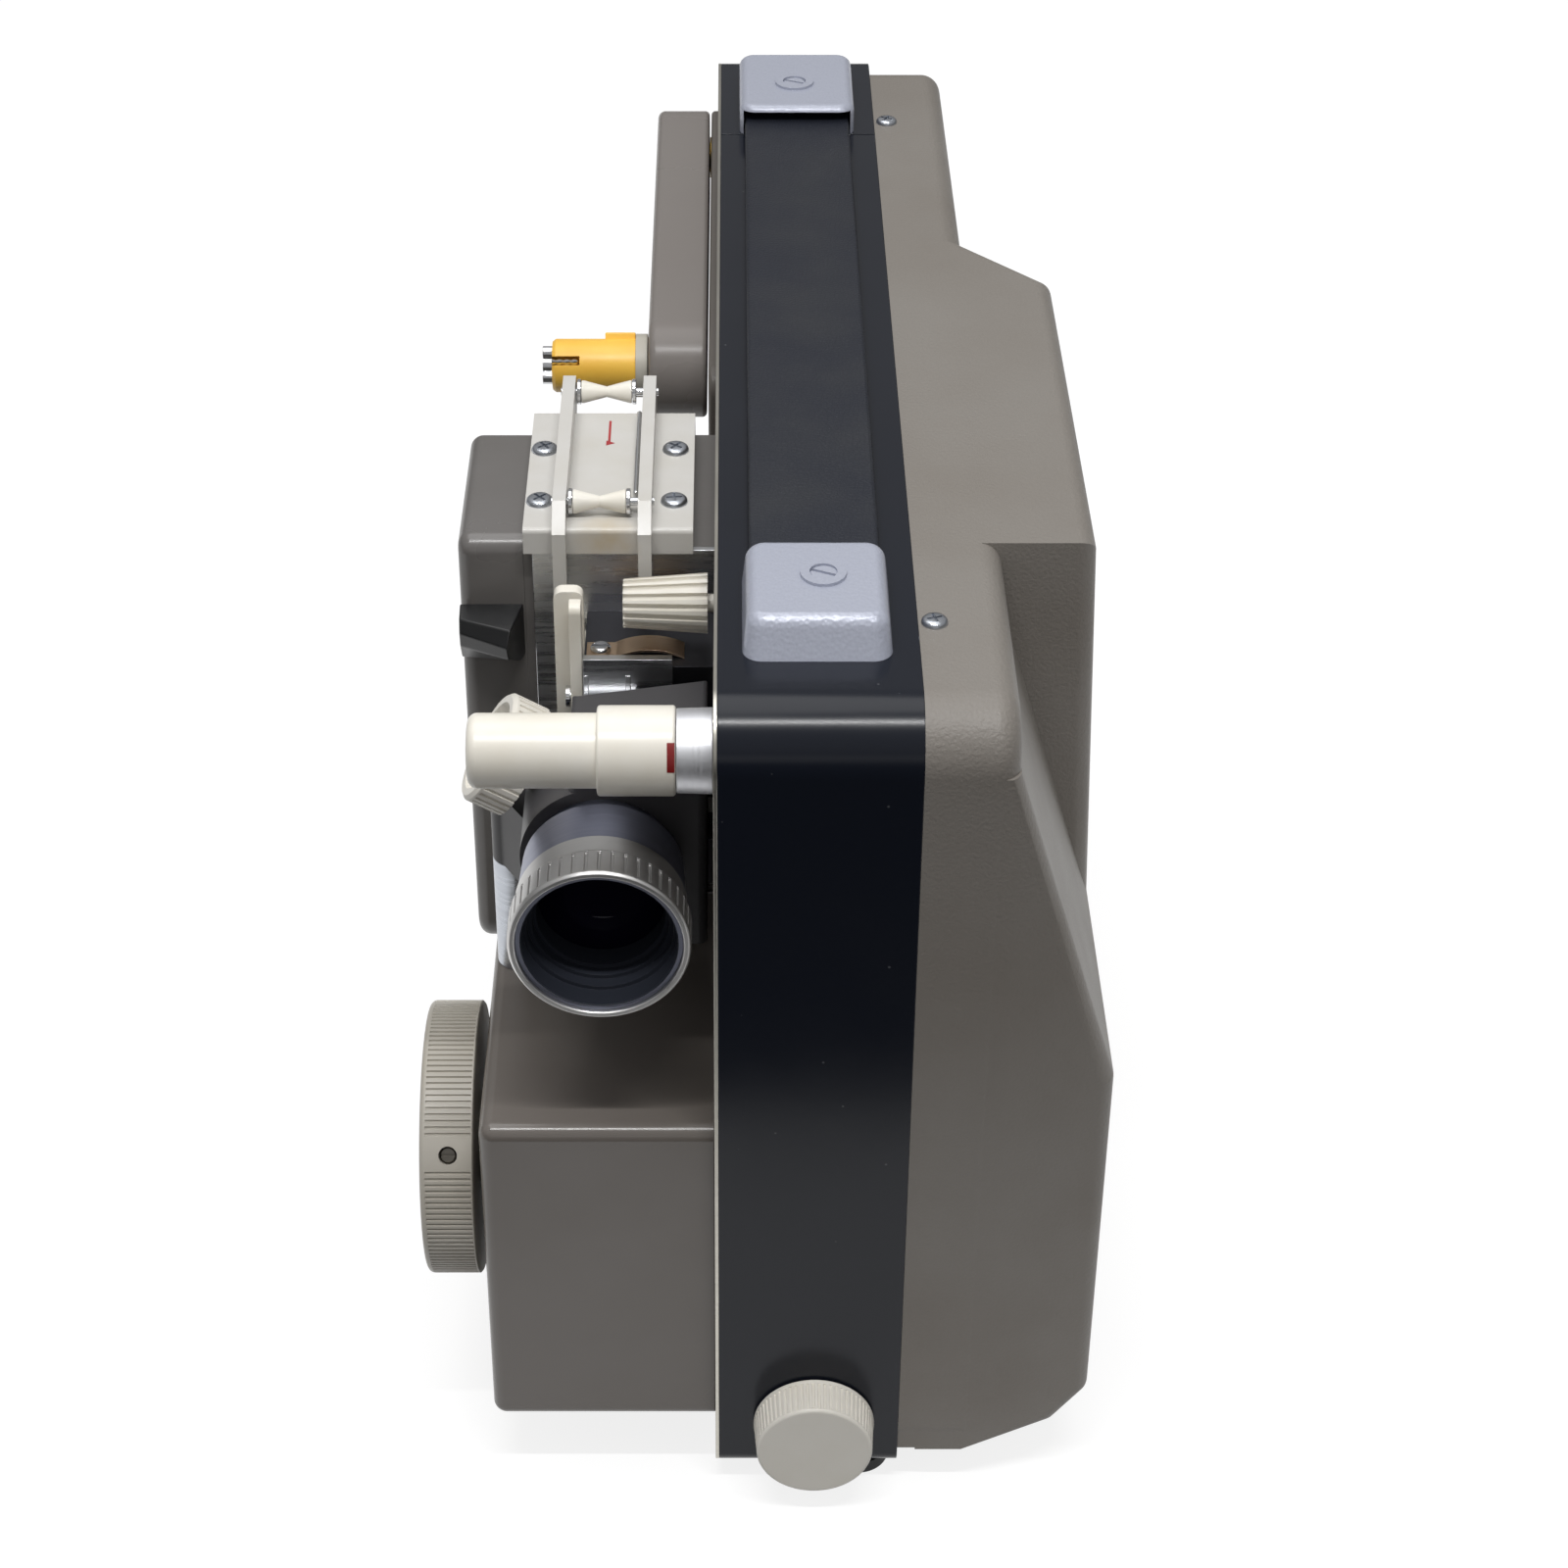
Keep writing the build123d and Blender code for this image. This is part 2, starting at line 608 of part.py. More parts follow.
def supply_shaft():
    """Steel shaft of the supply spindle in the arm, with its collar and locking tip."""
    x0 = -ARM_GAP - ARM_THICK
    shaft = rod_x(SPINDLE_SHAFT, SUPPLY_HUB_X - SPINDLE_LENGTH, x0 + 9.5, ARM_SPINDLE_Y, ARM_Z)
    collar = rod_x(SPINDLE_RADIUS + 1.2, SUPPLY_HUB_X, x0 - SIDE_PLAY, ARM_SPINDLE_Y, ARM_Z)
    return shaft + collar + lobed_tip(SUPPLY_HUB_X, ARM_SPINDLE_Y, ARM_Z)


def supply_hub():
    return reel_hub(SUPPLY_HUB_X, ARM_SPINDLE_Y, ARM_Z)


def takeup_shaft():
    """Shaft through the main plate with its clutch pulley inside the casing."""
    y, z = TAKEUP_Y, TAKEUP_Z
    shaft = rod_x(SPINDLE_SHAFT, -TAKEUP_STANDOFF - SPINDLE_LENGTH, PLATE_THICK + 12, y, z)
    shaft += lobed_tip(-TAKEUP_STANDOFF, y, z)
    collar = rod_x(SPINDLE_RADIUS + 1.2, -TAKEUP_STANDOFF, -FIELD_PROUD - SIDE_PLAY, y, z)
    pulley = rod_x(CLUTCH_RADIUS, PLATE_THICK + 2, PLATE_THICK + 8, y, z)
    groove = rod_x(CLUTCH_RADIUS + 1, PLATE_THICK + 4, PLATE_THICK + 6, y, z)
    groove -= rod_x(CLUTCH_RADIUS - 2, PLATE_THICK + 4, PLATE_THICK + 6, y, z)
    return shaft + collar + pulley - groove


def takeup_hub():
    return reel_hub(-TAKEUP_STANDOFF, TAKEUP_Y, TAKEUP_Z)


# Film guide

def guide_plate():
    """Cream plate with two fins; film runs between them over the rollers and down the front."""
    rear = GUIDE_FRONT + GUIDE_LENGTH
    plate = block(GUIDE_LEFT, GUIDE_RIGHT, GUIDE_FRONT, rear, GUIDE_LOW, GUIDE_TOP)
    plate = fillet(plate.edges().filter_by(Axis.X).group_by(Axis.Z)[-1], 1.2)
    fin_top = TOP - FIN_DROP
    outline = [(GUIDE_FRONT - 4, GUIDE_LOW - 9), (GUIDE_FRONT, GUIDE_LOW - 9),
               (GUIDE_FRONT, GUIDE_LOW), (rear, GUIDE_LOW), (REAR_ROLLER_Y + 4, GUIDE_TOP - 1),
               (REAR_ROLLER_Y + 4, fin_top - 2), (REAR_ROLLER_Y + 2, fin_top),
               (GUIDE_FRONT + 2, fin_top), (GUIDE_FRONT - 4, fin_top - 5)]
    for x in (FIN_LEFT, FIN_RIGHT - FIN_THICK):
        plate += profile_slab(outline, x, x + FIN_THICK)
    for y in (FRONT_ROLLER_Y, REAR_ROLLER_Y):
        plate -= rod_x(ROLLER_RADIUS + 0.5, ROLLER_LEFT - 0.3, ROLLER_RIGHT + 0.3, y, ROLLER_Z)
        plate -= rod_x(ROLLER_PIN, FIN_LEFT - 1, FIN_RIGHT + 1, y, ROLLER_Z)
    for x, y in guide_screw_places():
        plate -= rod_z(SCREW_SHANK, GUIDE_LOW - 1, GUIDE_TOP + 1, x, y)
    return plate - wire_guide()


def guide_screw_places():
    """Four screws, two beside each fin."""
    places = []
    for x in (GUIDE_LEFT + 3.2, GUIDE_RIGHT - 4.2):
        for y in (GUIDE_FRONT + 12, GUIDE_FRONT + 35):
            places.append((x, y))
    return places


def guide_screws():
    return [screw_z(x, y, GUIDE_TOP, GUIDE_SCREW_RADIUS, GUIDE_THICK + 1)
            for x, y in guide_screw_places()]


def roller(y):
    """Bow-tie roller: two cones meeting at a narrow waist, with round end discs."""
    disc = 1.0
    middle = (ROLLER_LEFT + ROLLER_RIGHT) / 2
    body = cone_x(ROLLER_RADIUS - 0.3, ROLLER_WAIST, ROLLER_LEFT + disc, middle, y, ROLLER_Z)
    body += cone_x(ROLLER_WAIST, ROLLER_RADIUS - 0.3, middle, ROLLER_RIGHT - disc, y, ROLLER_Z)
    body += rod_x(ROLLER_RADIUS, ROLLER_LEFT, ROLLER_LEFT + disc, y, ROLLER_Z)
    body += rod_x(ROLLER_RADIUS, ROLLER_RIGHT - disc, ROLLER_RIGHT, y, ROLLER_Z)
    bore = ROLLER_PIN + SHAFT_PLAY
    return body - rod_x(bore, ROLLER_LEFT - 1, ROLLER_RIGHT + 1, y, ROLLER_Z)


def guide_pins():
    """The steel pins of the two rollers, held in the fins, and the bright wire beside the film."""
    pins = [rod_x(ROLLER_PIN, FIN_LEFT - 0.5, FIN_RIGHT + 0.5, y, ROLLER_Z)
            for y in (FRONT_ROLLER_Y, REAR_ROLLER_Y)]
    return pins + [wire_guide()]


def wire_guide():
    """Wire that keeps the film to its channel, bent down into the plate at both ends."""
    x = FIN_RIGHT - FIN_THICK - WIRE_RADIUS - 0.2
    z = GUIDE_TOP + 1.6
    y0 = FRONT_ROLLER_Y + 6
    y1 = REAR_ROLLER_Y - 8
    wire = rod_y(WIRE_RADIUS, y0, y1, x, z)
    for y in (y0, y1):
        wire += rod_z(WIRE_RADIUS, GUIDE_TOP - 3, z, x, y) + Pos(x, y, z) * Sphere(WIRE_RADIUS)
    return wire


# Lamp house

def lamp_frame():
    """Sheet-metal box on the main plate that holds the lamp; its left side is closed by the cover."""
    frame = block(LAMP_FRAME_LEFT, 0, LAMP_FRONT, LAMP_REAR, LAMP_FLOOR, GUIDE_LOW)
    wall = LAMP_WALL
    frame -= block(LAMP_FRAME_LEFT - 1, 1, LAMP_FRONT + wall, LAMP_REAR - wall,
                   LAMP_FLOOR + wall, GUIDE_LOW - wall)
    frame -= rod_y(BEAM_RADIUS, LAMP_FRONT - 1, LAMP_FRONT + wall + 1, LENS_X, LENS_Z)
    for x, y in guide_screw_places():
        frame -= rod_z(SCREW_SHANK, GUIDE_LOW - wall - 1, GUIDE_LOW + 1, x, y)
    return frame


def heat_shield():
    """Polished plate in front of the lamp frame, behind the gate."""
    shield = block(LAMP_FRAME_LEFT + 2, 0, GATE_REAR, LAMP_FRONT, LAMP_FLOOR + 18, GUIDE_LOW)
    return shield - rod_y(BEAM_RADIUS, GATE_REAR - 1, LAMP_FRONT + 1, LENS_X, LENS_Z)


def lamp_cover():
    """Pull-off cover of the lamp house, a rounded tray with louvres on its outer side."""
    y0 = LAMP_FRONT
    y1 = LAMP_REAR
    z0 = LAMP_FLOOR
    z1 = TOP - LAMP_COVER_DROP
    face = side_face(y0, y1, z0, z1, 4.0, 9.0)
    cover = side_slab(face, LAMP_COVER_LEFT, LAMP_COVER_RIGHT)
    cover = fillet(cover.faces().sort_by(Axis.X)[0].edges(), 3.0)
    inner = side_face(y0 + LAMP_WALL, y1 - LAMP_WALL, z0 + LAMP_WALL, z1 - LAMP_WALL,
                      4.0 - LAMP_WALL, 9.0 - LAMP_WALL)
    cover -= side_slab(inner, LAMP_COVER_LEFT + LAMP_WALL, LAMP_COVER_RIGHT + 1)
    for row in range(7):
        z = z1 - 28 - row * 8
        cover -= block(LAMP_COVER_LEFT - 1, LAMP_COVER_LEFT + LAMP_WALL + 1, y0 + 10, y1 - 10, z, z + 3)
    stem = latch_stem(SLIDE_PLAY)
    travel = block(stem[0], stem[1], y0 - 1, y0 + LAMP_WALL + 1, stem[2] - LATCH_TRAVEL, stem[3])
    return cover - travel


def latch_stem(play):
    """Edges of the stem of the latch tab: left, right, low and high."""
    return (LATCH_X + 4 - play, LATCH_X + LATCH_WIDTH - 4 + play,
            LATCH_Z - 3 - play, LATCH_Z + 3 + play)


def latch_tab():
    """Black thumb tab on the lamp cover; it slides down to free the cover."""
    y0 = LAMP_FRONT - SLIDE_PLAY
    outline = [(y0, LATCH_Z + 7), (y0 - 9, LATCH_Z + 5.5), (y0 - 11.5, LATCH_Z + 2.5),
               (y0 - 10.5, LATCH_Z - 1), (y0 - 3, LATCH_Z - 6), (y0, LATCH_Z - 6)]
    tab = profile_slab(outline, LATCH_X, LATCH_X + LATCH_WIDTH)
    left, right, low, high = latch_stem(0)
    tab += block(left, right, y0, LAMP_FRONT + LAMP_WALL + SLIDE_PLAY + 0.2, low, high)
    head_y = LAMP_FRONT + LAMP_WALL + SLIDE_PLAY
    return tab + block(left - 1.5, right + 1.5, head_y, head_y + 1.5, low, high)


def lamp_socket():
    """Ceramic socket behind the lamp, on a foot that stands on the floor of the frame."""
    y0 = LAMP_Y + 14
    socket = block(LENS_X - 9, LENS_X + 9, y0, y0 + 8, LENS_Z - 8, LENS_Z + 8)
    foot = block(LENS_X - 6, LENS_X + 6, y0 + 2, y0 + 8, LAMP_FLOOR + LAMP_WALL, LENS_Z - 7)
    for side in (-1, 1):
        socket -= rod_y(0.8, y0 - 1, y0 + 6, LENS_X + side * 3, LENS_Z)
    return socket + foot


def lamp_bulb():
    """Mirror lamp: a glass bowl that throws the light forward, its capsule and its two pins."""
    y0 = LAMP_Y - 6
    y1 = LAMP_Y + 9
    bowl = cone_y(MIRROR_RADIUS, 7.0, y0, y1, LENS_X, LENS_Z)
    bowl -= cone_y(MIRROR_RADIUS - 1.5, 5.5, y0 - 0.01, y1 - 1.5, LENS_X, LENS_Z)
    neck = rod_y(6.0, y1, LAMP_Y + 14, LENS_X, LENS_Z)
    capsule = rod_y(2.6, LAMP_Y, y1, LENS_X, LENS_Z) + Pos(LENS_X, LAMP_Y, LENS_Z) * Sphere(2.6)
    lamp = bowl + neck + capsule
    for side in (-1, 1):
        lamp += rod_y(0.8, LAMP_Y + 13, LAMP_Y + 19, LENS_X + side * 3, LENS_Z)
    return lamp


# Gate

def gate_block():
    """Dark cast block that carries the aperture plate, with the beam passing through it."""
    front = APERTURE_Y + APERTURE_THICK
    body = block(LENS_X - 5, 0, front, GATE_REAR, LENS_Z - 34, TOP - CARRIER_TOP_DROP)
    body = fillet(body.edges().filter_by(Axis.Z).group_by(Axis.X)[0], 0.8)
    body -= rod_y(GATE_BORE, front - 1, GATE_REAR + 1, LENS_X, LENS_Z)
    # Recess for the claw and its stroke
    body -= block(CLAW_LEFT - 1, 1, front - 1, CLAW_Y + 4, CLAW_Z - 6, CLAW_Z + 10)
    top = TOP - CARRIER_TOP_DROP
    body -= rod_z(SCREW_SHANK, top - 4, top + 1, LEAF_SCREW_X, LEAF_Y)
    body -= rod_x(LEVER_PIN, LENS_X - 6, LENS_X - 1, LEVER_Y, LEVER_Z)
    for z in CHANNEL_SCREW_Z:
        body -= rod_x(1.2, LENS_X - 6, LENS_X + 1, CHANNEL_Y + 7.5, z)
    return body


def aperture_plate():
    """Polished plate with the picture aperture, the claw slot and low film rails."""
    y0 = APERTURE_Y
    y1 = APERTURE_Y + APERTURE_THICK
    low = LENS_Z - 34
    high = TOP - CARRIER_TOP_DROP + 3
    plate = block(LENS_X - 5, LENS_X + 14, y0, y1, low, high)
    for x in (LENS_X - 5, LENS_X + 4):
        plate += block(x, x + 1, y0 - 0.25, y0, low + 4, high - 4)
    plate -= block(LENS_X - 2.9, LENS_X + 2.9, y0 - 1, y1 + 1, LENS_Z - 2.1, LENS_Z + 2.1)
    slot_low = CLAW_Z + 1.4 - CLAW_STROKE - 0.5
    return plate - block(CLAW_LEFT - 0.6, CLAW_LEFT + 1.4, y0 - 1, y1 + 1, slot_low, CLAW_Z + 2.9)


def film_claw():
    """Claw that pulls the film down one frame; its tooth stands in the slot of the aperture plate."""
    arm = block(CLAW_LEFT - 0.3, PLATE_THICK + 8, CLAW_Y, CLAW_Y + 1.2, CLAW_Z, CLAW_Z + 4)
    tooth = block(CLAW_LEFT - 0.3, CLAW_LEFT + 0.7, APERTURE_Y + 0.4, CLAW_Y, CLAW_Z + 1.4, CLAW_Z + 2.4)
    return arm + tooth


def channel_plate():
    """Cream angle beside the gate that steers the film in, screwed to the side of the gate block."""
    x1 = LENS_X - 5
    x0 = x1 - 6.4
    low = LENS_Z - 20
    plate = block(x0, x1, CHANNEL_Y, CHANNEL_Y + 3, low, GUIDE_LOW - 1)
    plate = fillet(plate.edges().filter_by(Axis.Y).group_by(Axis.Z)[-1], 2.0)
    plate += block(x1 - 2.4, x1, CHANNEL_Y, CHANNEL_Y + 13, low, LENS_Z + 20)
    for z in CHANNEL_SCREW_Z:
        plate -= rod_x(1.2, x1 - 3, x1 + 1, CHANNEL_Y + 7.5, z)
    return plate


def gate_screws():
    """Small screws of the gate: two of the channel plate, the lever's shoulder screw, the leaf's."""
    x1 = LENS_X - 7.4
    screws = []
    for z in CHANNEL_SCREW_Z:
        y = CHANNEL_Y + 7.5
        screws.append(rod_x(1.2, x1, x1 + 7, y, z) + rod_x(2.1, x1 - 1.2, x1, y, z))
    x0 = LENS_X - 5 - SIDE_PLAY - LEVER_THICK
    pin = rod_x(LEVER_PIN, x0 - 0.6, LENS_X - 2, LEVER_Y, LEVER_Z)
    screws.append(pin + rod_x(2.4, x0 - 1.2, x0 - SIDE_PLAY, LEVER_Y, LEVER_Z))
    screws.append(screw_z(LEAF_SCREW_X, LEAF_Y, TOP - CARRIER_TOP_DROP + LEAF_THICK, 2.2, 4.0))
    return screws


def gate_lever():
    """Cream lever on the side of the gate block; its long end tips forward to open the channel."""
    x1 = LENS_X - 5 - SIDE_PLAY
    lever = block(x1 - LEVER_THICK, x1, LEVER_Y - 2.4, LEVER_Y + 2.4, LEVER_Z - 4, LEVER_Z + 24)
    lever = fillet(lever.edges().filter_by(Axis.X), 2.0)
    return lever - rod_x(LEVER_PIN + SHAFT_PLAY, x1 - LEVER_THICK - 1, x1 + 1, LEVER_Y, LEVER_Z)


def leaf_spring():
    """Thin bronze leaf on top of the gate block, bowed over the film path."""
    z = TOP - CARRIER_TOP_DROP
    x0 = LEAF_SCREW_X + 3
    x1 = x0 + 15
    y0 = LEAF_Y - 3
    middle = (x0 + x1) / 2
    flat = block(LEAF_SCREW_X - 3, x0 + 0.2, y0, LEAF_Y + 3, z, z + LEAF_THICK)
    under = ThreePointArc((x0, y0, z), (middle, y0, z + LEAF_BOW), (x1, y0, z))
    end = Line((x1, y0, z), (x1, y0, z + LEAF_THICK))
    over = ThreePointArc((x1, y0, z + LEAF_THICK), (middle, y0, z + LEAF_BOW + LEAF_THICK),
                         (x0, y0, z + LEAF_THICK))
    start = Line((x0, y0, z + LEAF_THICK), (x0, y0, z))
    leaf = extrude(make_face([under, end, over, start]), 6, dir=(0, 1, 0)) + flat
    return leaf - rod_z(SCREW_SHANK, z - 1, z + 1, LEAF_SCREW_X, LEAF_Y)


# Lens and its swinging carrier

def lens_carrier():
    """Cast carrier of the lens: a round housing and a flat-topped block in one, on a hinge lug."""
    top = TOP - CARRIER_TOP_DROP
    low = TOP - CARRIER_LOW_DROP
    plan = [(CARRIER_LEFT, CARRIER_FRONT), (CARRIER_RIGHT, CARRIER_FRONT),
            (CARRIER_RIGHT, CARRIER_REAR_RIGHT), (LENS_X - 5.7, CARRIER_REAR),
            (CARRIER_LEFT, CARRIER_REAR)]
    body = plan_slab(plan, low, top)
    body = fillet(body.edges().filter_by(Axis.Z).group_by(Axis.Y)[0], 2.0)
    body = fillet(body.edges().group_by(Axis.Z)[-1], 1.2)
    outside = SLEEVE_RADIUS + CARRIER_WALL
    body += rod_y(outside, CARRIER_FRONT, CARRIER_REAR, LENS_X, LENS_Z)
    # Boss of the focus shaft, then the hinge lug
    body += focus_frame() * rod_z(5.0, -outside, -SIDE_PLAY, 0, 0)
    lug_top = low + HINGE_LUG_HEIGHT
    body += rod_z(HINGE_LUG, low, lug_top, CARRIER_HINGE_X, CARRIER_HINGE_Y)
    web = [(CARRIER_HINGE_X - HINGE_LUG, CARRIER_HINGE_Y), (CARRIER_HINGE_X, CARRIER_HINGE_Y - 2),
           (LENS_X - 5, CARRIER_REAR), (LENS_X - 5, CARRIER_REAR - 14), (LENS_X - 14, CARRIER_REAR - 14)]
    body += plan_slab(web, low, lug_top)
    # Bore for the sleeve, seat for the pressure plate, bores of the hinge and of the focus shaft
    seat = PRESSURE_HALF_HEIGHT + 1
    body -= block(LENS_X - 7, LENS_X + 7, PRESSURE_SEAT, CARRIER_REAR_RIGHT + 1,
                  LENS_Z - seat, LENS_Z + seat)
    body -= rod_y(SLEEVE_RADIUS + SHAFT_PLAY, CARRIER_FRONT - 1, CARRIER_REAR_RIGHT + 1, LENS_X, LENS_Z)
    body -= rod_z(HINGE_PIN + SHAFT_PLAY, low - 1, lug_top - 2, CARRIER_HINGE_X, CARRIER_HINGE_Y)
    return body - focus_frame() * rod_z(FOCUS_SHAFT + SHAFT_PLAY, -CARRIER_WALL - FOCUS_STANDOFF - 2, 1, 0, 0)


def focus_frame():
    """Place of the focus knob: inner face at the origin, +Z along its shaft, away from the lens."""
    reach = SLEEVE_RADIUS + CARRIER_WALL + FOCUS_STANDOFF
    return Pos(LENS_X, FOCUS_Y, LENS_Z) * Rot(0, FOCUS_RISE - 90, 0) * Pos(0, 0, reach)


def focus_knob():
    """Ribbed focus knob with a dished face; its shaft points at the lens axis."""
    knob = rod_z(FOCUS_RADIUS, 0, FOCUS_THICK, 0, 0)
    knob = chamfer(knob.edges().group_by(Axis.Z)[-1], 0.8)
    for count in range(FOCUS_RIBS):
        turn = Rot(0, 0, count * 360 / FOCUS_RIBS)
        knob -= turn * block(FOCUS_RADIUS - 0.5, FOCUS_RADIUS + 1, -0.45, 0.45, -1, FOCUS_THICK - 1.4)
    dish = Pos(0, 0, FOCUS_THICK - 1.2) * Cone(FOCUS_RADIUS - 3.4, FOCUS_RADIUS - 2.4, 2.5)
    knob -= dish
    knob += rod_z(FOCUS_SHAFT, -CARRIER_WALL - FOCUS_STANDOFF + 0.3, 0, 0, 0)
    return focus_frame() * knob


def carrier_hinge():
    """Pin and post of the lens carrier, standing on the lower housing."""
    low = TOP - CARRIER_LOW_DROP
    post = rod_z(HINGE_LUG, HOUSING_TOP, low - SLIDE_PLAY, CARRIER_HINGE_X, CARRIER_HINGE_Y)
    pin_top = low + HINGE_LUG_HEIGHT - 2.5
    return post + rod_z(HINGE_PIN, HOUSING_TOP, pin_top, CARRIER_HINGE_X, CARRIER_HINGE_Y)


def pressure_plate():
    """Spring-loaded pressure pad on the carrier, facing the film."""
    y1 = APERTURE_Y - FILM_GAP
    half = PRESSURE_HALF_HEIGHT
    pad = block(LENS_X - 6, LENS_X + 6, PRESSURE_SEAT, y1, LENS_Z - half, LENS_Z + half)
    pad = fillet(pad.edges().filter_by(Axis.X).group_by(Axis.Y)[-1], 2.5)
    return pad - rod_y(4.0, PRESSURE_SEAT - 1, y1 + 1, LENS_X, LENS_Z)


def lens_barrel():
    """Stepped barrel: a nose inside the ring, the grip-free body, and the sleeve in the carrier."""
    nose = rod_y(NOSE_RADIUS - SHAFT_PLAY, 1.0, RING_LENGTH + 1, LENS_X, LENS_Z)
    body = cone_y(BARREL_RADIUS, BARREL_RADIUS - 1.0, RING_LENGTH + 0.3, BARREL_SHOULDER, LENS_X, LENS_Z)
    sleeve = rod_y(SLEEVE_RADIUS, BARREL_SHOULDER - 1, SLEEVE_END, LENS_X, LENS_Z)
    barrel = nose + body + sleeve
    # Hood, stepped in three rings down to the front glass, then the bore behind it
    step = (NOSE_RADIUS - NOSE_WALL - GLASS_RADIUS) / 3
    for count in range(3):
        barrel -= rod_y(NOSE_RADIUS - NOSE_WALL - count * step, 0, 6 + count * 2.5, LENS_X, LENS_Z)
    barrel -= rod_y(GLASS_RADIUS, 0, GLASS_Y + 4, LENS_X, LENS_Z)
    return barrel - rod_y(GLASS_RADIUS - 3, 0, SLEEVE_END + 1, LENS_X, LENS_Z)


def zoom_ring():
    """Front ring of the lens with a ribbed band; it turns on the nose of the barrel."""
    ring = rod_y(RING_RADIUS, 0, RING_LENGTH, LENS_X, LENS_Z)
    ring = chamfer(ring.edges().group_by(Axis.Y)[0], 0.5)
    for count in range(44):
        angle = 2 * math.pi * count / 44
        x = LENS_X + RING_RADIUS * math.cos(angle)
        z = LENS_Z + RING_RADIUS * math.sin(angle)
        ring -= rod_y(0.5, 1.8, RING_LENGTH + 1, x, z)
    return ring - rod_y(NOSE_RADIUS, -1, RING_LENGTH + 1, LENS_X, LENS_Z)


def lens_glass():
    """Front element, bulging forward, and the flat rear element near the gate."""
    disc = rod_y(GLASS_RADIUS, GLASS_Y, GLASS_Y + 4, LENS_X, LENS_Z)
    front = disc & Pos(LENS_X, GLASS_Y + 30, LENS_Z) * Sphere(30.0)
    rear = rod_y(GLASS_RADIUS - 3, SLEEVE_END - 6, SLEEVE_END - 3, LENS_X, LENS_Z)
    return [front, rear]


# Lower housing and its dial

def lower_housing():
    """Glossy lower housing: an open-backed moulding screwed to the main plate."""
    y1 = HOUSING_FRONT + HOUSING_LENGTH
    low = BASE + HOUSING_LIFT
    body = block(-HOUSING_DEPTH, 0, HOUSING_FRONT, y1, low, HOUSING_TOP)
    round_edges = body.edges().filter_by(lambda edge: edge.center().X < -1)
    body = fillet(round_edges, HOUSING_ROUND)
    wall = HOUSING_WALL
    body -= block(-HOUSING_DEPTH + wall, 1, HOUSING_FRONT + wall, y1 - wall, low + wall, HOUSING_TOP - wall)
    # Slot where the film enters from the gate
    slot_y = APERTURE_Y - FILM_GAP / 2 - FILM_SLOT / 2
    body -= block(LENS_X - 5, LENS_X + 5, slot_y, slot_y + FILM_SLOT, HOUSING_TOP - wall - 1, HOUSING_TOP + 1)
    return body - rod_x(DIAL_SHAFT + SHAFT_PLAY, -HOUSING_DEPTH - 1, -HOUSING_DEPTH + 4, DIAL_Y, DIAL_Z)


def function_dial():
    """Large function dial with a domed rim and a flat for its set screw."""
    inner = -HOUSING_DEPTH - DIAL_STANDOFF
    outer = inner - DIAL_THICK
    dial = rod_x(DIAL_RADIUS, outer, inner, DIAL_Y, DIAL_Z)
    dial = fillet(dial.edges().group_by(Axis.X)[0], 2.2)
    dial = chamfer(dial.edges().group_by(Axis.X)[-1], 0.6)
    dial -= dial_screw_frame() * block(-2.6, 2.6, -2.6, 2.6, -1.4, 3)
    dial -= dial_screw_frame() * rod_z(1.5, -9, 1, 0, 0)
    shaft = rod_x(DIAL_SHAFT, inner - 1, -HOUSING_DEPTH + 14, DIAL_Y, DIAL_Z)
    hub = rod_x(DIAL_SHAFT + 6, inner - 1, -HOUSING_DEPTH - SLIDE_PLAY, DIAL_Y, DIAL_Z)
    wafer = rod_x(14.0, -HOUSING_DEPTH + 10, -HOUSING_DEPTH + 13, DIAL_Y, DIAL_Z)
    return dial + shaft + hub + wafer


def dial_screw_frame():
    """Place of the set screw on the rim of the dial, +Z pointing away from the shaft."""
    middle = -HOUSING_DEPTH - DIAL_STANDOFF - DIAL_THICK / 2
    tilt = 90 - DIAL_SCREW_ANGLE
    return Pos(middle, DIAL_Y, DIAL_Z) * Rot(tilt, 0, 0) * Pos(0, 0, DIAL_RADIUS)


def dial_screw():
    """Slotted set screw of the dial."""
    screw = rod_z(1.5, -8.5, -0.9, 0, 0) - block(-2, 2, -0.3, 0.3, -1.5, 0)
    return dial_screw_frame() * screw


# Knobs on the upper left

def control_collar():
    """Silver collar of the control knob, fixed on the main plate."""
    collar = cone_x(8.4, 8.6, -CONTROL_COLLAR + SLIDE_PLAY, 0, CONTROL_Y, CONTROL_Z)
    return collar - rod_x(CONTROL_SHAFT + SHAFT_PLAY, -CONTROL_COLLAR - 1, 1, CONTROL_Y, CONTROL_Z)


def control_knob():
    """Stepped control knob with a red index mark beside the collar."""
    wide = rod_x(CONTROL_WIDE, -CONTROL_STEP, -CONTROL_COLLAR, CONTROL_Y, CONTROL_Z)
    wide = fillet(wide.edges().filter_by(GeomType.CIRCLE), 0.6)
    narrow = rod_x(CONTROL_NARROW, -CONTROL_LENGTH, -CONTROL_STEP + 1, CONTROL_Y, CONTROL_Z)
    narrow = fillet(narrow.edges().group_by(Axis.X)[0], 2.0)
    shaft = rod_x(CONTROL_SHAFT, -CONTROL_COLLAR - 1, PLATE_THICK + 8, CONTROL_Y, CONTROL_Z)
    return wide + narrow + shaft


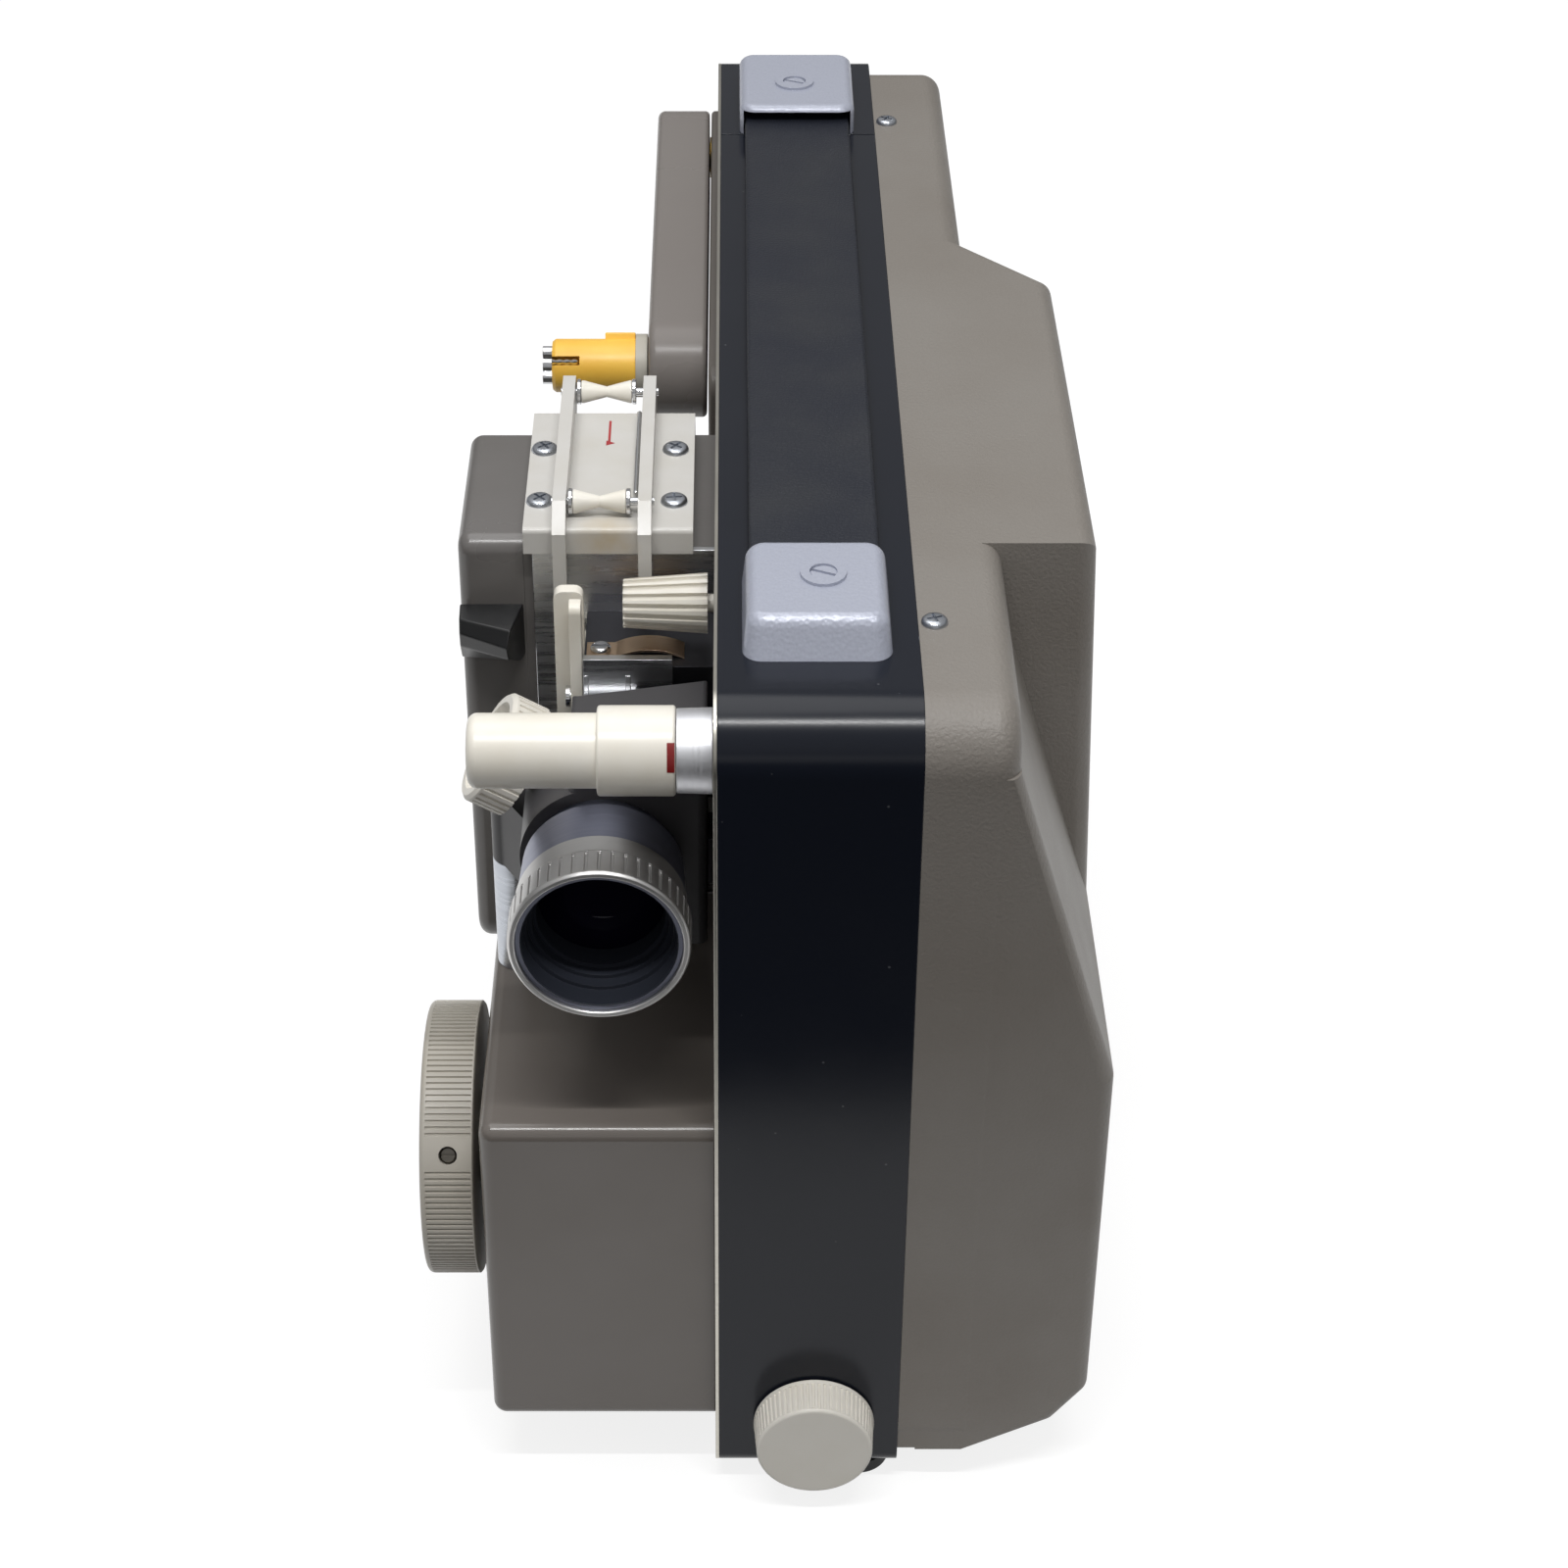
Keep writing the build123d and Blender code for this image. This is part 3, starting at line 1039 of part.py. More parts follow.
def framing_knob():
    """Tapered framing knob with coarse ribs, on a shaft through the main plate."""
    y, z = FRAMING_Y, TOP - FRAMING_DROP
    knob = cone_x(FRAMING_RADIUS - 1.3, FRAMING_RADIUS, -1.5 - FRAMING_LENGTH, -1.5, y, z)
    for count in range(FRAMING_RIBS):
        angle = 2 * math.pi * count / FRAMING_RIBS
        reach = FRAMING_RADIUS - 0.35
        near = Vector(-1.0, y + reach * math.cos(angle), z + reach * math.sin(angle))
        reach -= 1.4
        far = Vector(-2.5 - FRAMING_LENGTH, y + reach * math.cos(angle), z + reach * math.sin(angle))
        run = near - far
        knob -= Plane(origin=far + run / 2, z_dir=run) * Cylinder(0.8, run.length)
    shaft = rod_x(FRAMING_SHAFT, -2, PLATE_THICK + 3, y, z)
    return knob + shaft + rod_x(FRAMING_SHAFT + 3, PLATE_THICK + SIDE_PLAY, PLATE_THICK + 3, y, z)


# Drive inside

def shutter_blade():
    """Three-bladed shutter that cuts the beam between the gate and the lamp."""
    blade = rod_y(SHUTTER_RADIUS, SHUTTER_Y, SHUTTER_Y + SHUTTER_THICK, DRIVE_X, DRIVE_Z)
    for turn in range(3):
        window = Pos(DRIVE_X, SHUTTER_Y + SHUTTER_THICK / 2, DRIVE_Z) * Rot(0, turn * 120, 0)
        opening = block(14, SHUTTER_RADIUS + 1, -1, 1, -1, 26)
        opening = opening & Rot(90, 0, 0) * Cylinder(SHUTTER_RADIUS + 2, 2)
        blade -= window * opening
    return blade - rod_y(DRIVE_SHAFT, SHUTTER_Y - 1, SHUTTER_Y + 2, DRIVE_X, DRIVE_Z)


def drive_shaft():
    """Main drive shaft with the collar of the shutter and the cam of the claw."""
    shaft = rod_y(DRIVE_SHAFT, SHAFT_FRONT, SHAFT_REAR, DRIVE_X, DRIVE_Z)
    collar = rod_y(DRIVE_SHAFT + 5, SHUTTER_Y + SHUTTER_THICK, SHUTTER_Y + 6, DRIVE_X, DRIVE_Z)
    cam = rod_y(6.0, CLAW_Y + 2.2, CLAW_Y + 7, DRIVE_X, DRIVE_Z)
    return shaft + collar + cam


def grooved_pulley(radius, x, z, shaft_radius):
    """Pulley with a round groove for the belt."""
    y0 = PULLEY_Y - PULLEY_WIDTH / 2
    y1 = PULLEY_Y + PULLEY_WIDTH / 2
    rim = radius + BELT_RADIUS
    pulley = rod_y(rim, y0, y1, x, z)
    groove = Pos(x, PULLEY_Y, z) * Rot(90, 0, 0) * Torus(radius + BELT_GAP, BELT_RADIUS + BELT_GAP)
    pulley -= groove
    outer = rod_y(rim + 2, PULLEY_Y - BELT_RADIUS - BELT_GAP, PULLEY_Y + BELT_RADIUS + BELT_GAP, x, z)
    outer -= rod_y(radius + BELT_GAP, PULLEY_Y - 4, PULLEY_Y + 4, x, z)
    return pulley - outer - rod_y(shaft_radius, y0 - 1, y1 + 1, x, z)


def drive_pulley():
    return grooved_pulley(DRIVE_PULLEY, DRIVE_X, DRIVE_Z, DRIVE_SHAFT)


def motor_pulley():
    return grooved_pulley(MOTOR_PULLEY, MOTOR_X, MOTOR_Z, MOTOR_SHAFT)


def drive_belt():
    """Round belt from the motor pulley to the drive pulley: two straight runs and two arcs."""
    path = belt_path()
    start = path @ 0
    section = Plane(origin=start, z_dir=path % 0) * Circle(BELT_RADIUS - BELT_GAP / 2)
    return sweep(section, path=path)


def belt_path():
    """Centre line of the belt, as the outer tangents of both pulleys."""
    big = DRIVE_PULLEY + BELT_GAP
    small = MOTOR_PULLEY + BELT_GAP
    dx = MOTOR_X - DRIVE_X
    dz = MOTOR_Z - DRIVE_Z
    span = math.hypot(dx, dz)
    along = math.atan2(dz, dx)
    lean = math.acos((big - small) / span)

    def on_circle(centre_x, centre_z, radius, angle):
        return (centre_x + radius * math.cos(angle), PULLEY_Y, centre_z + radius * math.sin(angle))

    a0 = on_circle(DRIVE_X, DRIVE_Z, big, along + lean)
    a1 = on_circle(DRIVE_X, DRIVE_Z, big, along + math.pi)
    a2 = on_circle(DRIVE_X, DRIVE_Z, big, along - lean)
    b0 = on_circle(MOTOR_X, MOTOR_Z, small, along - lean)
    b1 = on_circle(MOTOR_X, MOTOR_Z, small, along)
    b2 = on_circle(MOTOR_X, MOTOR_Z, small, along + lean)
    return Wire([ThreePointArc(a0, a1, a2), Line(a2, b0), ThreePointArc(b0, b1, b2), Line(b2, a0)])


def shaft_bearings():
    """Two bearing brackets from the main plate to the drive shaft."""
    brackets = []
    for y in (SHAFT_FRONT + 5, PULLEY_Y - 12):
        arm = block(PLATE_THICK, DRIVE_X, y - 3, y + 3, DRIVE_Z - 7, DRIVE_Z + 7)
        arm += rod_y(7.0, y - 3, y + 3, DRIVE_X, DRIVE_Z)
        brackets.append(arm - rod_y(DRIVE_SHAFT + SHAFT_PLAY, y - 4, y + 4, DRIVE_X, DRIVE_Z))
    return brackets


def motor_can():
    """Closed motor with end bells, and a bracket to the main plate."""
    y1 = MOTOR_FRONT + MOTOR_LENGTH
    can = rod_y(MOTOR_RADIUS, MOTOR_FRONT, y1, MOTOR_X, MOTOR_Z)
    can = fillet(can.edges().filter_by(GeomType.CIRCLE), 3.0)
    for y in (MOTOR_FRONT + 10, y1 - 16):
        can += block(PLATE_THICK, MOTOR_X - MOTOR_RADIUS + 8, y, y + 6, MOTOR_Z - 14, MOTOR_Z + 14)
    return can - rod_y(MOTOR_SHAFT + SHAFT_PLAY, MOTOR_FRONT - 1, y1 + 1, MOTOR_X, MOTOR_Z)


def motor_shaft():
    """Shaft right through the motor, from the fan to the pulley."""
    return rod_y(MOTOR_SHAFT, MOTOR_FRONT - FAN_LENGTH - 4, PULLEY_Y + 6, MOTOR_X, MOTOR_Z)


def cooling_fan():
    """Fan on the front end of the motor shaft, with pitched blades round a hub."""
    y1 = MOTOR_FRONT - 3
    y0 = y1 - FAN_LENGTH
    fan = rod_y(7.0, y0, y1, MOTOR_X, MOTOR_Z)
    for count in range(FAN_BLADES):
        blade = Rot(0, 0, 28) * block(-0.7, 0.7, -FAN_LENGTH / 2, FAN_LENGTH / 2, 5, FAN_RADIUS)
        place = Pos(MOTOR_X, (y0 + y1) / 2, MOTOR_Z) * Rot(0, count * 360 / FAN_BLADES, 0)
        fan += place * blade
    fan &= rod_y(FAN_RADIUS, y0, y1, MOTOR_X, MOTOR_Z)
    return fan - rod_y(MOTOR_SHAFT, y0 - 1, y1 + 1, MOTOR_X, MOTOR_Z)


def transformer():
    """Laminated transformer core with its winding, on feet against the main plate."""
    x0 = PLATE_THICK + 14
    core = block(x0, x0 + 36, TRANSFORMER_Y, TRANSFORMER_Y + 48, BASE + 9, BASE + 49)
    winding = block(x0 + 5, x0 + 31, TRANSFORMER_Y - 7, TRANSFORMER_Y + 55, BASE + 15, BASE + 43)
    winding = fillet(winding.edges().filter_by(Axis.Z), 4.0)
    feet = block(PLATE_THICK, x0 + 1, TRANSFORMER_Y + 6, TRANSFORMER_Y + 42, BASE + 11, BASE + 15)
    return core + winding + feet


def inlet_edges(grow):
    """Edges of the body of the mains inlet, seen from behind: left, right, low and high."""
    half_width = 9 + grow
    half_height = 6 + grow
    return (INLET_X - half_width, INLET_X + half_width, INLET_Z - half_height, INLET_Z + half_height)


def power_inlet():
    """Recessed mains inlet with two round pins."""
    x0, x1, z0, z1 = inlet_edges(0)
    flange_y = CASE_LENGTH - BAND_WALL
    inlet = block(x0, x1, CASE_LENGTH - 18, CASE_LENGTH - 0.5, z0, z1)
    inlet += block(x0 - 3, x1 + 3, flange_y - 1.5, flange_y, z0 - 3, z1 + 3)
    inlet -= block(x0 + 2, x1 - 2, CASE_LENGTH - 13, CASE_LENGTH + 1, z0 + 2, z1 - 2)
    for side in (-1, 1):
        inlet += rod_y(1.2, CASE_LENGTH - 13.5, CASE_LENGTH - 5, INLET_X + side * 3, INLET_Z)
    return inlet


# Feet

def rubber_feet():
    """Four rubber feet, two under the band and two taller ones under the motor cover."""
    feet = []
    for y in (30, CASE_LENGTH - 40):
        feet.append(chamfer(rod_z(RUBBER_RADIUS, 0, BASE, 9.5, y).edges().group_by(Axis.Z)[0], 1.0))
        cover_low = BASE + COVER_BOTTOM_STEP
        foot = rod_z(RUBBER_RADIUS, 0, cover_low, COVER_IN + 9, y)
        feet.append(chamfer(foot.edges().group_by(Axis.Z)[0], 1.0))
    return feet


def tilt_knob():
    """Tapered tilt knob on the front of the band, with its shaft and pinion inside."""
    knob = cone_y(TILT_FACE, TILT_RADIUS, -TILT_THICK - 0.5, -0.5, TILT_X, TILT_Z)
    knob = fillet(knob.edges().group_by(Axis.Y)[0], 0.8)
    shaft = rod_y(TILT_SHAFT, -1, BAND_WALL + 11, TILT_X, TILT_Z)
    return knob + shaft + rod_y(TILT_PINION, BAND_WALL + 1, BAND_WALL + 10, TILT_X, TILT_Z)


def tilt_foot():
    """Elevating foot beside the pinion: a rod with a rubber-tipped pad under the band."""
    rod = rod_z(FOOT_ROD, FOOT_LIFT + 1, BASE + 38, FOOT_X, FOOT_Y)
    pad = rod_z(FOOT_PAD, FOOT_LIFT, BASE - 0.7, FOOT_X, FOOT_Y)
    return rod + fillet(pad.edges().group_by(Axis.Z)[0], 1.0)


# Values that follow from the sizes above
COVER_IN = BAND_WIDTH
COVER_BASE_OUT = COVER_IN + COVER_BASE_DEPTH
COVER_OUT = COVER_IN + COVER_DEPTH
HOUSING_TOP = TOP - HOUSING_TOP_DROP
DIAL_Z = (BASE + HOUSING_LIFT + HOUSING_TOP) / 2 + DIAL_ABOVE_MIDDLE
ARM_Z = TOP - ARM_DROP
ARM_PIVOT_Y = CASE_LENGTH - ARM_PIVOT_FROM_REAR
ARM_SPINDLE_Y = ARM_PIVOT_Y - ARM_LENGTH
SUPPLY_HUB_X = -ARM_GAP - ARM_THICK - SPINDLE_COLLAR
TAKEUP_Y = CASE_LENGTH - TAKEUP_FROM_REAR
TAKEUP_Z = TOP - TAKEUP_DROP
GUIDE_TOP = TOP - GUIDE_DROP
GUIDE_LOW = GUIDE_TOP - GUIDE_THICK
ROLLER_Z = TOP - ROLLER_DROP
ROLLER_LEFT = FIN_LEFT + FIN_THICK + SIDE_PLAY
ROLLER_RIGHT = FIN_RIGHT - FIN_THICK - 2 * WIRE_RADIUS - 0.2 - SIDE_PLAY
LAMP_REAR = LAMP_FRONT + LAMP_LENGTH
LAMP_FLOOR = TOP - LAMP_FLOOR_DROP
LAMP_COVER_RIGHT = LAMP_FRAME_LEFT
LATCH_X = LAMP_COVER_LEFT
LATCH_Z = TOP - 36.0
CLAW_Y = APERTURE_Y + APERTURE_THICK + 2
CLAW_Z = LENS_Z - 16
CLAW_LEFT = LENS_X + 3.6
LEVER_Y = APERTURE_Y + 5
LEVER_Z = LENS_Z + 14
CHANNEL_Y = APERTURE_Y + 9
CHANNEL_SCREW_Z = (LENS_Z - 8, LENS_Z + 12)
LEAF_Y = APERTURE_Y + 8
LEAF_SCREW_X = LENS_X - 1.5
CONTROL_Z = TOP - CONTROL_DROP
FRONT_CAP_SCREW = (STRAP_X + 1.5, FRONT_CAP_Y + 20)
REAR_CAP_Y = CASE_LENGTH - REAR_CAP_FROM_REAR
REAR_CAP_SCREW = (STRAP_X - 0.5, REAR_CAP_Y + 16)
SHAFT_FRONT = CLAW_Y - 10
SHAFT_REAR = PULLEY_Y + 8
INLET_Z = BASE + INLET_RISE
TILT_Z = BASE + TILT_RISE
FOOT_X = TILT_X + TILT_PINION + FOOT_ROD + 0.5
FOOT_Y = BAND_WALL + 6.5

NODES = {
    "main_plate": main_plate,
    "front_band": front_band,
    "rear_band": rear_band,
    "right_cover": right_cover,
    "cover_screws": cover_screws,
    "handle_strap": handle_strap,
    "front_handle_cap": front_handle_cap,
    "rear_handle_cap": rear_handle_cap,
    "handle_screws": handle_screws,
    "reel_arm": reel_arm,
    "arm_post": arm_post,
    "supply_shaft": supply_shaft,
    "supply_hub": supply_hub,
    "takeup_shaft": takeup_shaft,
    "takeup_hub": takeup_hub,
    "guide_plate": guide_plate,
    "guide_screws": guide_screws,
    "front_roller": lambda: roller(FRONT_ROLLER_Y),
    "rear_roller": lambda: roller(REAR_ROLLER_Y),
    "guide_pins": guide_pins,
    "lamp_frame": lamp_frame,
    "heat_shield": heat_shield,
    "lamp_cover": lamp_cover,
    "latch_tab": latch_tab,
    "lamp_socket": lamp_socket,
    "lamp_bulb": lamp_bulb,
    "gate_block": gate_block,
    "aperture_plate": aperture_plate,
    "film_claw": film_claw,
    "channel_plate": channel_plate,
    "gate_lever": gate_lever,
    "leaf_spring": leaf_spring,
    "gate_screws": gate_screws,
    "lens_carrier": lens_carrier,
    "carrier_hinge": carrier_hinge,
    "pressure_plate": pressure_plate,
    "lens_barrel": lens_barrel,
    "zoom_ring": zoom_ring,
    "lens_glass": lens_glass,
    "focus_knob": focus_knob,
    "lower_housing": lower_housing,
    "function_dial": function_dial,
    "dial_screw": dial_screw,
    "control_collar": control_collar,
    "control_knob": control_knob,
    "framing_knob": framing_knob,
    "shutter_blade": shutter_blade,
    "drive_shaft": drive_shaft,
    "drive_pulley": drive_pulley,
    "drive_belt": drive_belt,
    "shaft_bearings": shaft_bearings,
    "motor_can": motor_can,
    "motor_shaft": motor_shaft,
    "motor_pulley": motor_pulley,
    "cooling_fan": cooling_fan,
    "transformer": transformer,
    "power_inlet": power_inlet,
    "rubber_feet": rubber_feet,
    "tilt_knob": tilt_knob,
    "tilt_foot": tilt_foot,
}

# The footprint runs from the dial to the motor cover and from the tilt knob to the rear of the band
LEFT_END = -HOUSING_DEPTH - DIAL_STANDOFF - DIAL_THICK
FRONT_END = -TILT_THICK - 0.5
ORIGIN = Pos(-(LEFT_END + COVER_OUT) / 2, -(FRONT_END + CASE_LENGTH) / 2, 0)

for node, build in NODES.items():
    made = build()
    solids = made if isinstance(made, list) else [made]
    export_step(Compound(children=[ORIGIN * solid for solid in solids]), f"parts/{node}.step")
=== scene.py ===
# %% [markdown]
# # A small film projector, seen from its lens side
# The CAD model already has every piece in its true place. This lesson gives the pieces
# their looks: it imports the model as a fixed frame, copies or rebuilds the pieces whose
# surface needs more than CAD gives, and paints each one with a procedural material.
# Everything is in metres, and a finished piece keeps its object at the origin.

# %% Load the frame
import json
import math

import bmesh
import bpy
from mathutils import Matrix, Vector

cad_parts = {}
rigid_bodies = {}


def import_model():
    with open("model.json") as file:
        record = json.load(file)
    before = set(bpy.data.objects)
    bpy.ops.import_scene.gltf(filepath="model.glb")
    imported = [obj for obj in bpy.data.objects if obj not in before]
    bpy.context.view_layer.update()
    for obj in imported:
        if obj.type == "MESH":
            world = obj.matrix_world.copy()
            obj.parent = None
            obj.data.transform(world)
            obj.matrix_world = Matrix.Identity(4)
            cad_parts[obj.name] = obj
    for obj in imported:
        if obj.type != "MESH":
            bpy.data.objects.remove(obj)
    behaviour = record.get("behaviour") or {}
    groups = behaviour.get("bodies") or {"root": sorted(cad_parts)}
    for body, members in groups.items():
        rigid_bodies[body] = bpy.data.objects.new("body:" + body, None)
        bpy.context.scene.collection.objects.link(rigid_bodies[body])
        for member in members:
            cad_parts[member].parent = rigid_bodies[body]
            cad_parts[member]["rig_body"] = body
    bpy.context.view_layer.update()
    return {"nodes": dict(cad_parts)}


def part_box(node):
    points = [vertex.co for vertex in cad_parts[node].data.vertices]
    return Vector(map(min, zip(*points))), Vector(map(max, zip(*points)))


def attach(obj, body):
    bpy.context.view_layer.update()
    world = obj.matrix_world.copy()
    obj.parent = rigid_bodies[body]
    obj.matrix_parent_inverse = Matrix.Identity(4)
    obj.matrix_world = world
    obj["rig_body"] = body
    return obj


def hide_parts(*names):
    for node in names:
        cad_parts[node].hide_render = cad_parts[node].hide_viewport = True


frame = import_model()

# %% [markdown]
# The CAD model was drawn in millimetres from one corner of the casing, and then moved so
# that the origin is the middle of its footprint. It is easier to think in the drawing's
# own numbers, so one helper turns them into places in the scene.

# %% Drawing numbers to scene places
MM = 0.001
BAND_WIDTH = 41.0
PLATE_THICK = 4.0
plate_low, plate_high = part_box("main_plate")
SHIFT = Vector((plate_high[0] / MM - PLATE_THICK, plate_low[1] / MM, 0.0))


def at(x, y, z):
    """A point of the drawing, in millimetres, as a place in the scene, in metres."""
    return (Vector((x, y, z)) + SHIFT) * MM


TOP = 208.0
print("drawing moved by", [round(v, 3) for v in SHIFT], "mm; casing top at", round(at(0, 0, TOP).z, 4), "m")

# %% [markdown]
# ## Camera
# The long straight edges of the casing run to a vanishing point far above the picture,
# which gives the view: about two thirds of a metre from the front, looking down 35 degrees
# along the machine, through a lens of some 74 mm on a 36 mm wide sensor. The picture was
# cropped a little to one side, and a small lens shift repeats that crop. The picture's
# width, the distance to its plane and the shift are given in its own pixels.

# %% Camera
SENSOR_WIDTH = 36.0
PICTURE_WIDTH = 1600
PLANE_DISTANCE = 3300
CROP_SHIFT = 53
LOOK_DOWN = 35
camera_data = bpy.data.cameras.new("camera")
camera_data.sensor_width = SENSOR_WIDTH
camera_data.lens = SENSOR_WIDTH * PLANE_DISTANCE / PICTURE_WIDTH
camera_data.shift_x = CROP_SHIFT / PICTURE_WIDTH
camera_data.clip_start = 0.05
camera = bpy.data.objects.new("camera", camera_data)
camera.location = at(3.7, -512.6, 553.3)
camera.rotation_euler = (math.radians(90 - LOOK_DOWN), 0, 0)
bpy.context.scene.collection.objects.link(camera)
bpy.context.scene.camera = camera
print("camera at", [round(v, 3) for v in camera.location])

# %% [markdown]
# ## Colours and nodes
# Colours are written as sRGB hex values, as a paint chart or an image editor shows them.
# Cycles works with linear light, so one function converts them. A second small function
# adds a node: a value that is another node's output becomes a link, anything else is set
# on the socket. Every material below is built from these two.

# %% Two helpers for materials
def linear(hex_colour):
    """An sRGB hex colour as linear red, green, blue and alpha."""
    channels = [int(hex_colour[i:i + 2], 16) / 255 for i in (1, 3, 5)]
    return [c / 12.92 if c <= 0.04045 else ((c + 0.055) / 1.055) ** 2.4 for c in channels] + [1.0]


def add(tree, kind, sockets, **settings):
    """Adds one node with its settings; socket values that are outputs become links."""
    node = tree.nodes.new(kind)
    for key, value in settings.items():
        setattr(node, key, value)
    for key, value in sockets.items():
        if isinstance(value, bpy.types.NodeSocket):
            tree.links.new(value, node.inputs[key])
        else:
            node.inputs[key].default_value = value
    return node


def start(name, colour, roughness, metallic=0.0):
    """A new material with its shader set, and the Object coordinates that patterns read."""
    material = bpy.data.materials.new(name)
    material.use_nodes = True
    tree = material.node_tree
    shader = tree.nodes["Principled BSDF"]
    shader.inputs["Base Color"].default_value = linear(colour)
    shader.inputs["Roughness"].default_value = roughness
    shader.inputs["Metallic"].default_value = metallic
    place = add(tree, "ShaderNodeTexCoord", {}).outputs["Object"]
    return material, tree, shader, place


def per_metre(size_mm):
    """How many features of this size fit in a metre, which is a texture's Scale."""
    return 1000 / size_mm


# %% [markdown]
# ## Floor, backdrop and light
# The photograph is a product picture on pure white. A matt floor gives that: its diffuse
# grey carries the soft shadow, and a light of its own, for rays that come from the camera,
# from a reflection or through glass, lifts it to white without lighting the object. The
# view looks down so steeply that the floor fills the whole picture. In the photograph the
# black front mirrors something dark from about 13 cm away, and every front is darker higher
# up: the projector seems to have stood near the front edge of a table. So the floor ends
# there too, just below the picture.

# %% Floor
FLOOR_HALF = 4.0
FLOOR_FRONT = -130
FLOOR_GLOW = 0.82
bm = bmesh.new()
bmesh.ops.create_grid(bm, x_segments=8, y_segments=8, size=FLOOR_HALF)
bmesh.ops.translate(bm, verts=bm.verts, vec=(0, FLOOR_HALF + at(0, FLOOR_FRONT, 0).y, 0))
floor_mesh = bpy.data.meshes.new("floor")
bm.to_mesh(floor_mesh)
bm.free()
floor = bpy.data.objects.new("floor", floor_mesh)
bpy.context.scene.collection.objects.link(floor)
paper = bpy.data.materials.new("matt_white_paper_floor")
paper.use_nodes = True
tree = paper.node_tree
shader = tree.nodes["Principled BSDF"]
shader.inputs["Base Color"].default_value = linear("#8f8f8f")
shader.inputs["Roughness"].default_value = 0.9
shader.inputs["Specular IOR Level"].default_value = 0.1
rays = add(tree, "ShaderNodeLightPath", {})
seen = add(tree, "ShaderNodeMath", {0: rays.outputs["Is Camera Ray"], 1: rays.outputs["Is Glossy Ray"]},
           operation="MAXIMUM")
seen = add(tree, "ShaderNodeMath", {0: seen.outputs[0], 1: rays.outputs["Is Transmission Ray"]},
           operation="MAXIMUM")
lift = add(tree, "ShaderNodeMath", {0: seen.outputs[0], 1: FLOOR_GLOW}, operation="MULTIPLY")
glow = add(tree, "ShaderNodeEmission", {"Color": (1, 1, 1, 1), "Strength": lift.outputs[0]})
both = add(tree, "ShaderNodeAddShader", {0: shader.outputs["BSDF"], 1: glow.outputs["Emission"]})
tree.links.new(both.outputs[0], tree.nodes["Material Output"].inputs["Surface"])
floor_mesh.materials.append(paper)
print("floor 8 m square")

# %% [markdown]
# Light comes from a wide soft box overhead and a lower, weaker one in front. The thin bright
# line along every rounded top edge, which the picture shows from the casing to the arm, is
# the mirror image of something long and narrow high in front, such as a tube, so a strip
# light hangs there. The world adds an even fill from above the horizon and is nearly dark
# below it, as a room is beyond the edge of a table; the camera sees plain white there.

# %% Lights and world
def soft_box(name, place, aim, size, watts):
    """An area light of width and height in metres at a place, turned to an aim point."""
    data = bpy.data.lights.new(name, "AREA")
    data.shape = "RECTANGLE"
    data.size, data.size_y = size
    data.energy = watts
    lamp = bpy.data.objects.new(name, data)
    lamp.location = place
    lamp.rotation_euler = (Vector(aim) - Vector(place)).to_track_quat("-Z", "Y").to_euler()
    bpy.context.scene.collection.objects.link(lamp)


soft_box("overhead_box", (-0.15, 0.2, 1.45), (0, 0, 0.15), (0.9, 0.9), 5.5)
soft_box("front_box", (0.2, -1.55, 0.38), (0, 0, 0.1), (1.2, 0.3), 0.5)
soft_box("tube", (0.0, -0.53, 1.34), (0, -0.1, 0.15), (0.8, 0.022), 9.0)
world = bpy.data.worlds.new("studio")
bpy.context.scene.world = world
world.use_nodes = True
tree = world.node_tree
background = tree.nodes["Background"]
background.inputs["Color"].default_value = linear("#ffffff")
rays = add(tree, "ShaderNodeLightPath", {})
direction = add(tree, "ShaderNodeTexCoord", {}).outputs["Generated"]
height = add(tree, "ShaderNodeSeparateXYZ", {0: direction}).outputs["Z"]
fill = add(tree, "ShaderNodeMapRange", {0: height, 1: -0.05, 2: 0.45, 3: 0.02, 4: 0.40})
tree.links.new(fill.outputs[0], background.inputs["Strength"])
bright = add(tree, "ShaderNodeBackground", {"Color": (1, 1, 1, 1), "Strength": 1.0})
pick = add(tree, "ShaderNodeMixShader",
           {0: rays.outputs["Is Camera Ray"], 1: background.outputs[0], 2: bright.outputs[0]})
tree.links.new(pick.outputs[0], tree.nodes["World Output"].inputs["Surface"])
bpy.context.scene.view_settings.view_transform = "Standard"
print("two soft boxes, a tube and a world")

# %% [markdown]
# ## Moulded plastic
# Most covers and knobs are ABS or a harder urea plastic. A mould leaves a fine even grain,
# the colour drifts a little over the years, and the sheen drifts with it. The recipe takes
# the grain's size; on the big cover it is spark-eroded, and drawn at 0.8 mm so that it shows.

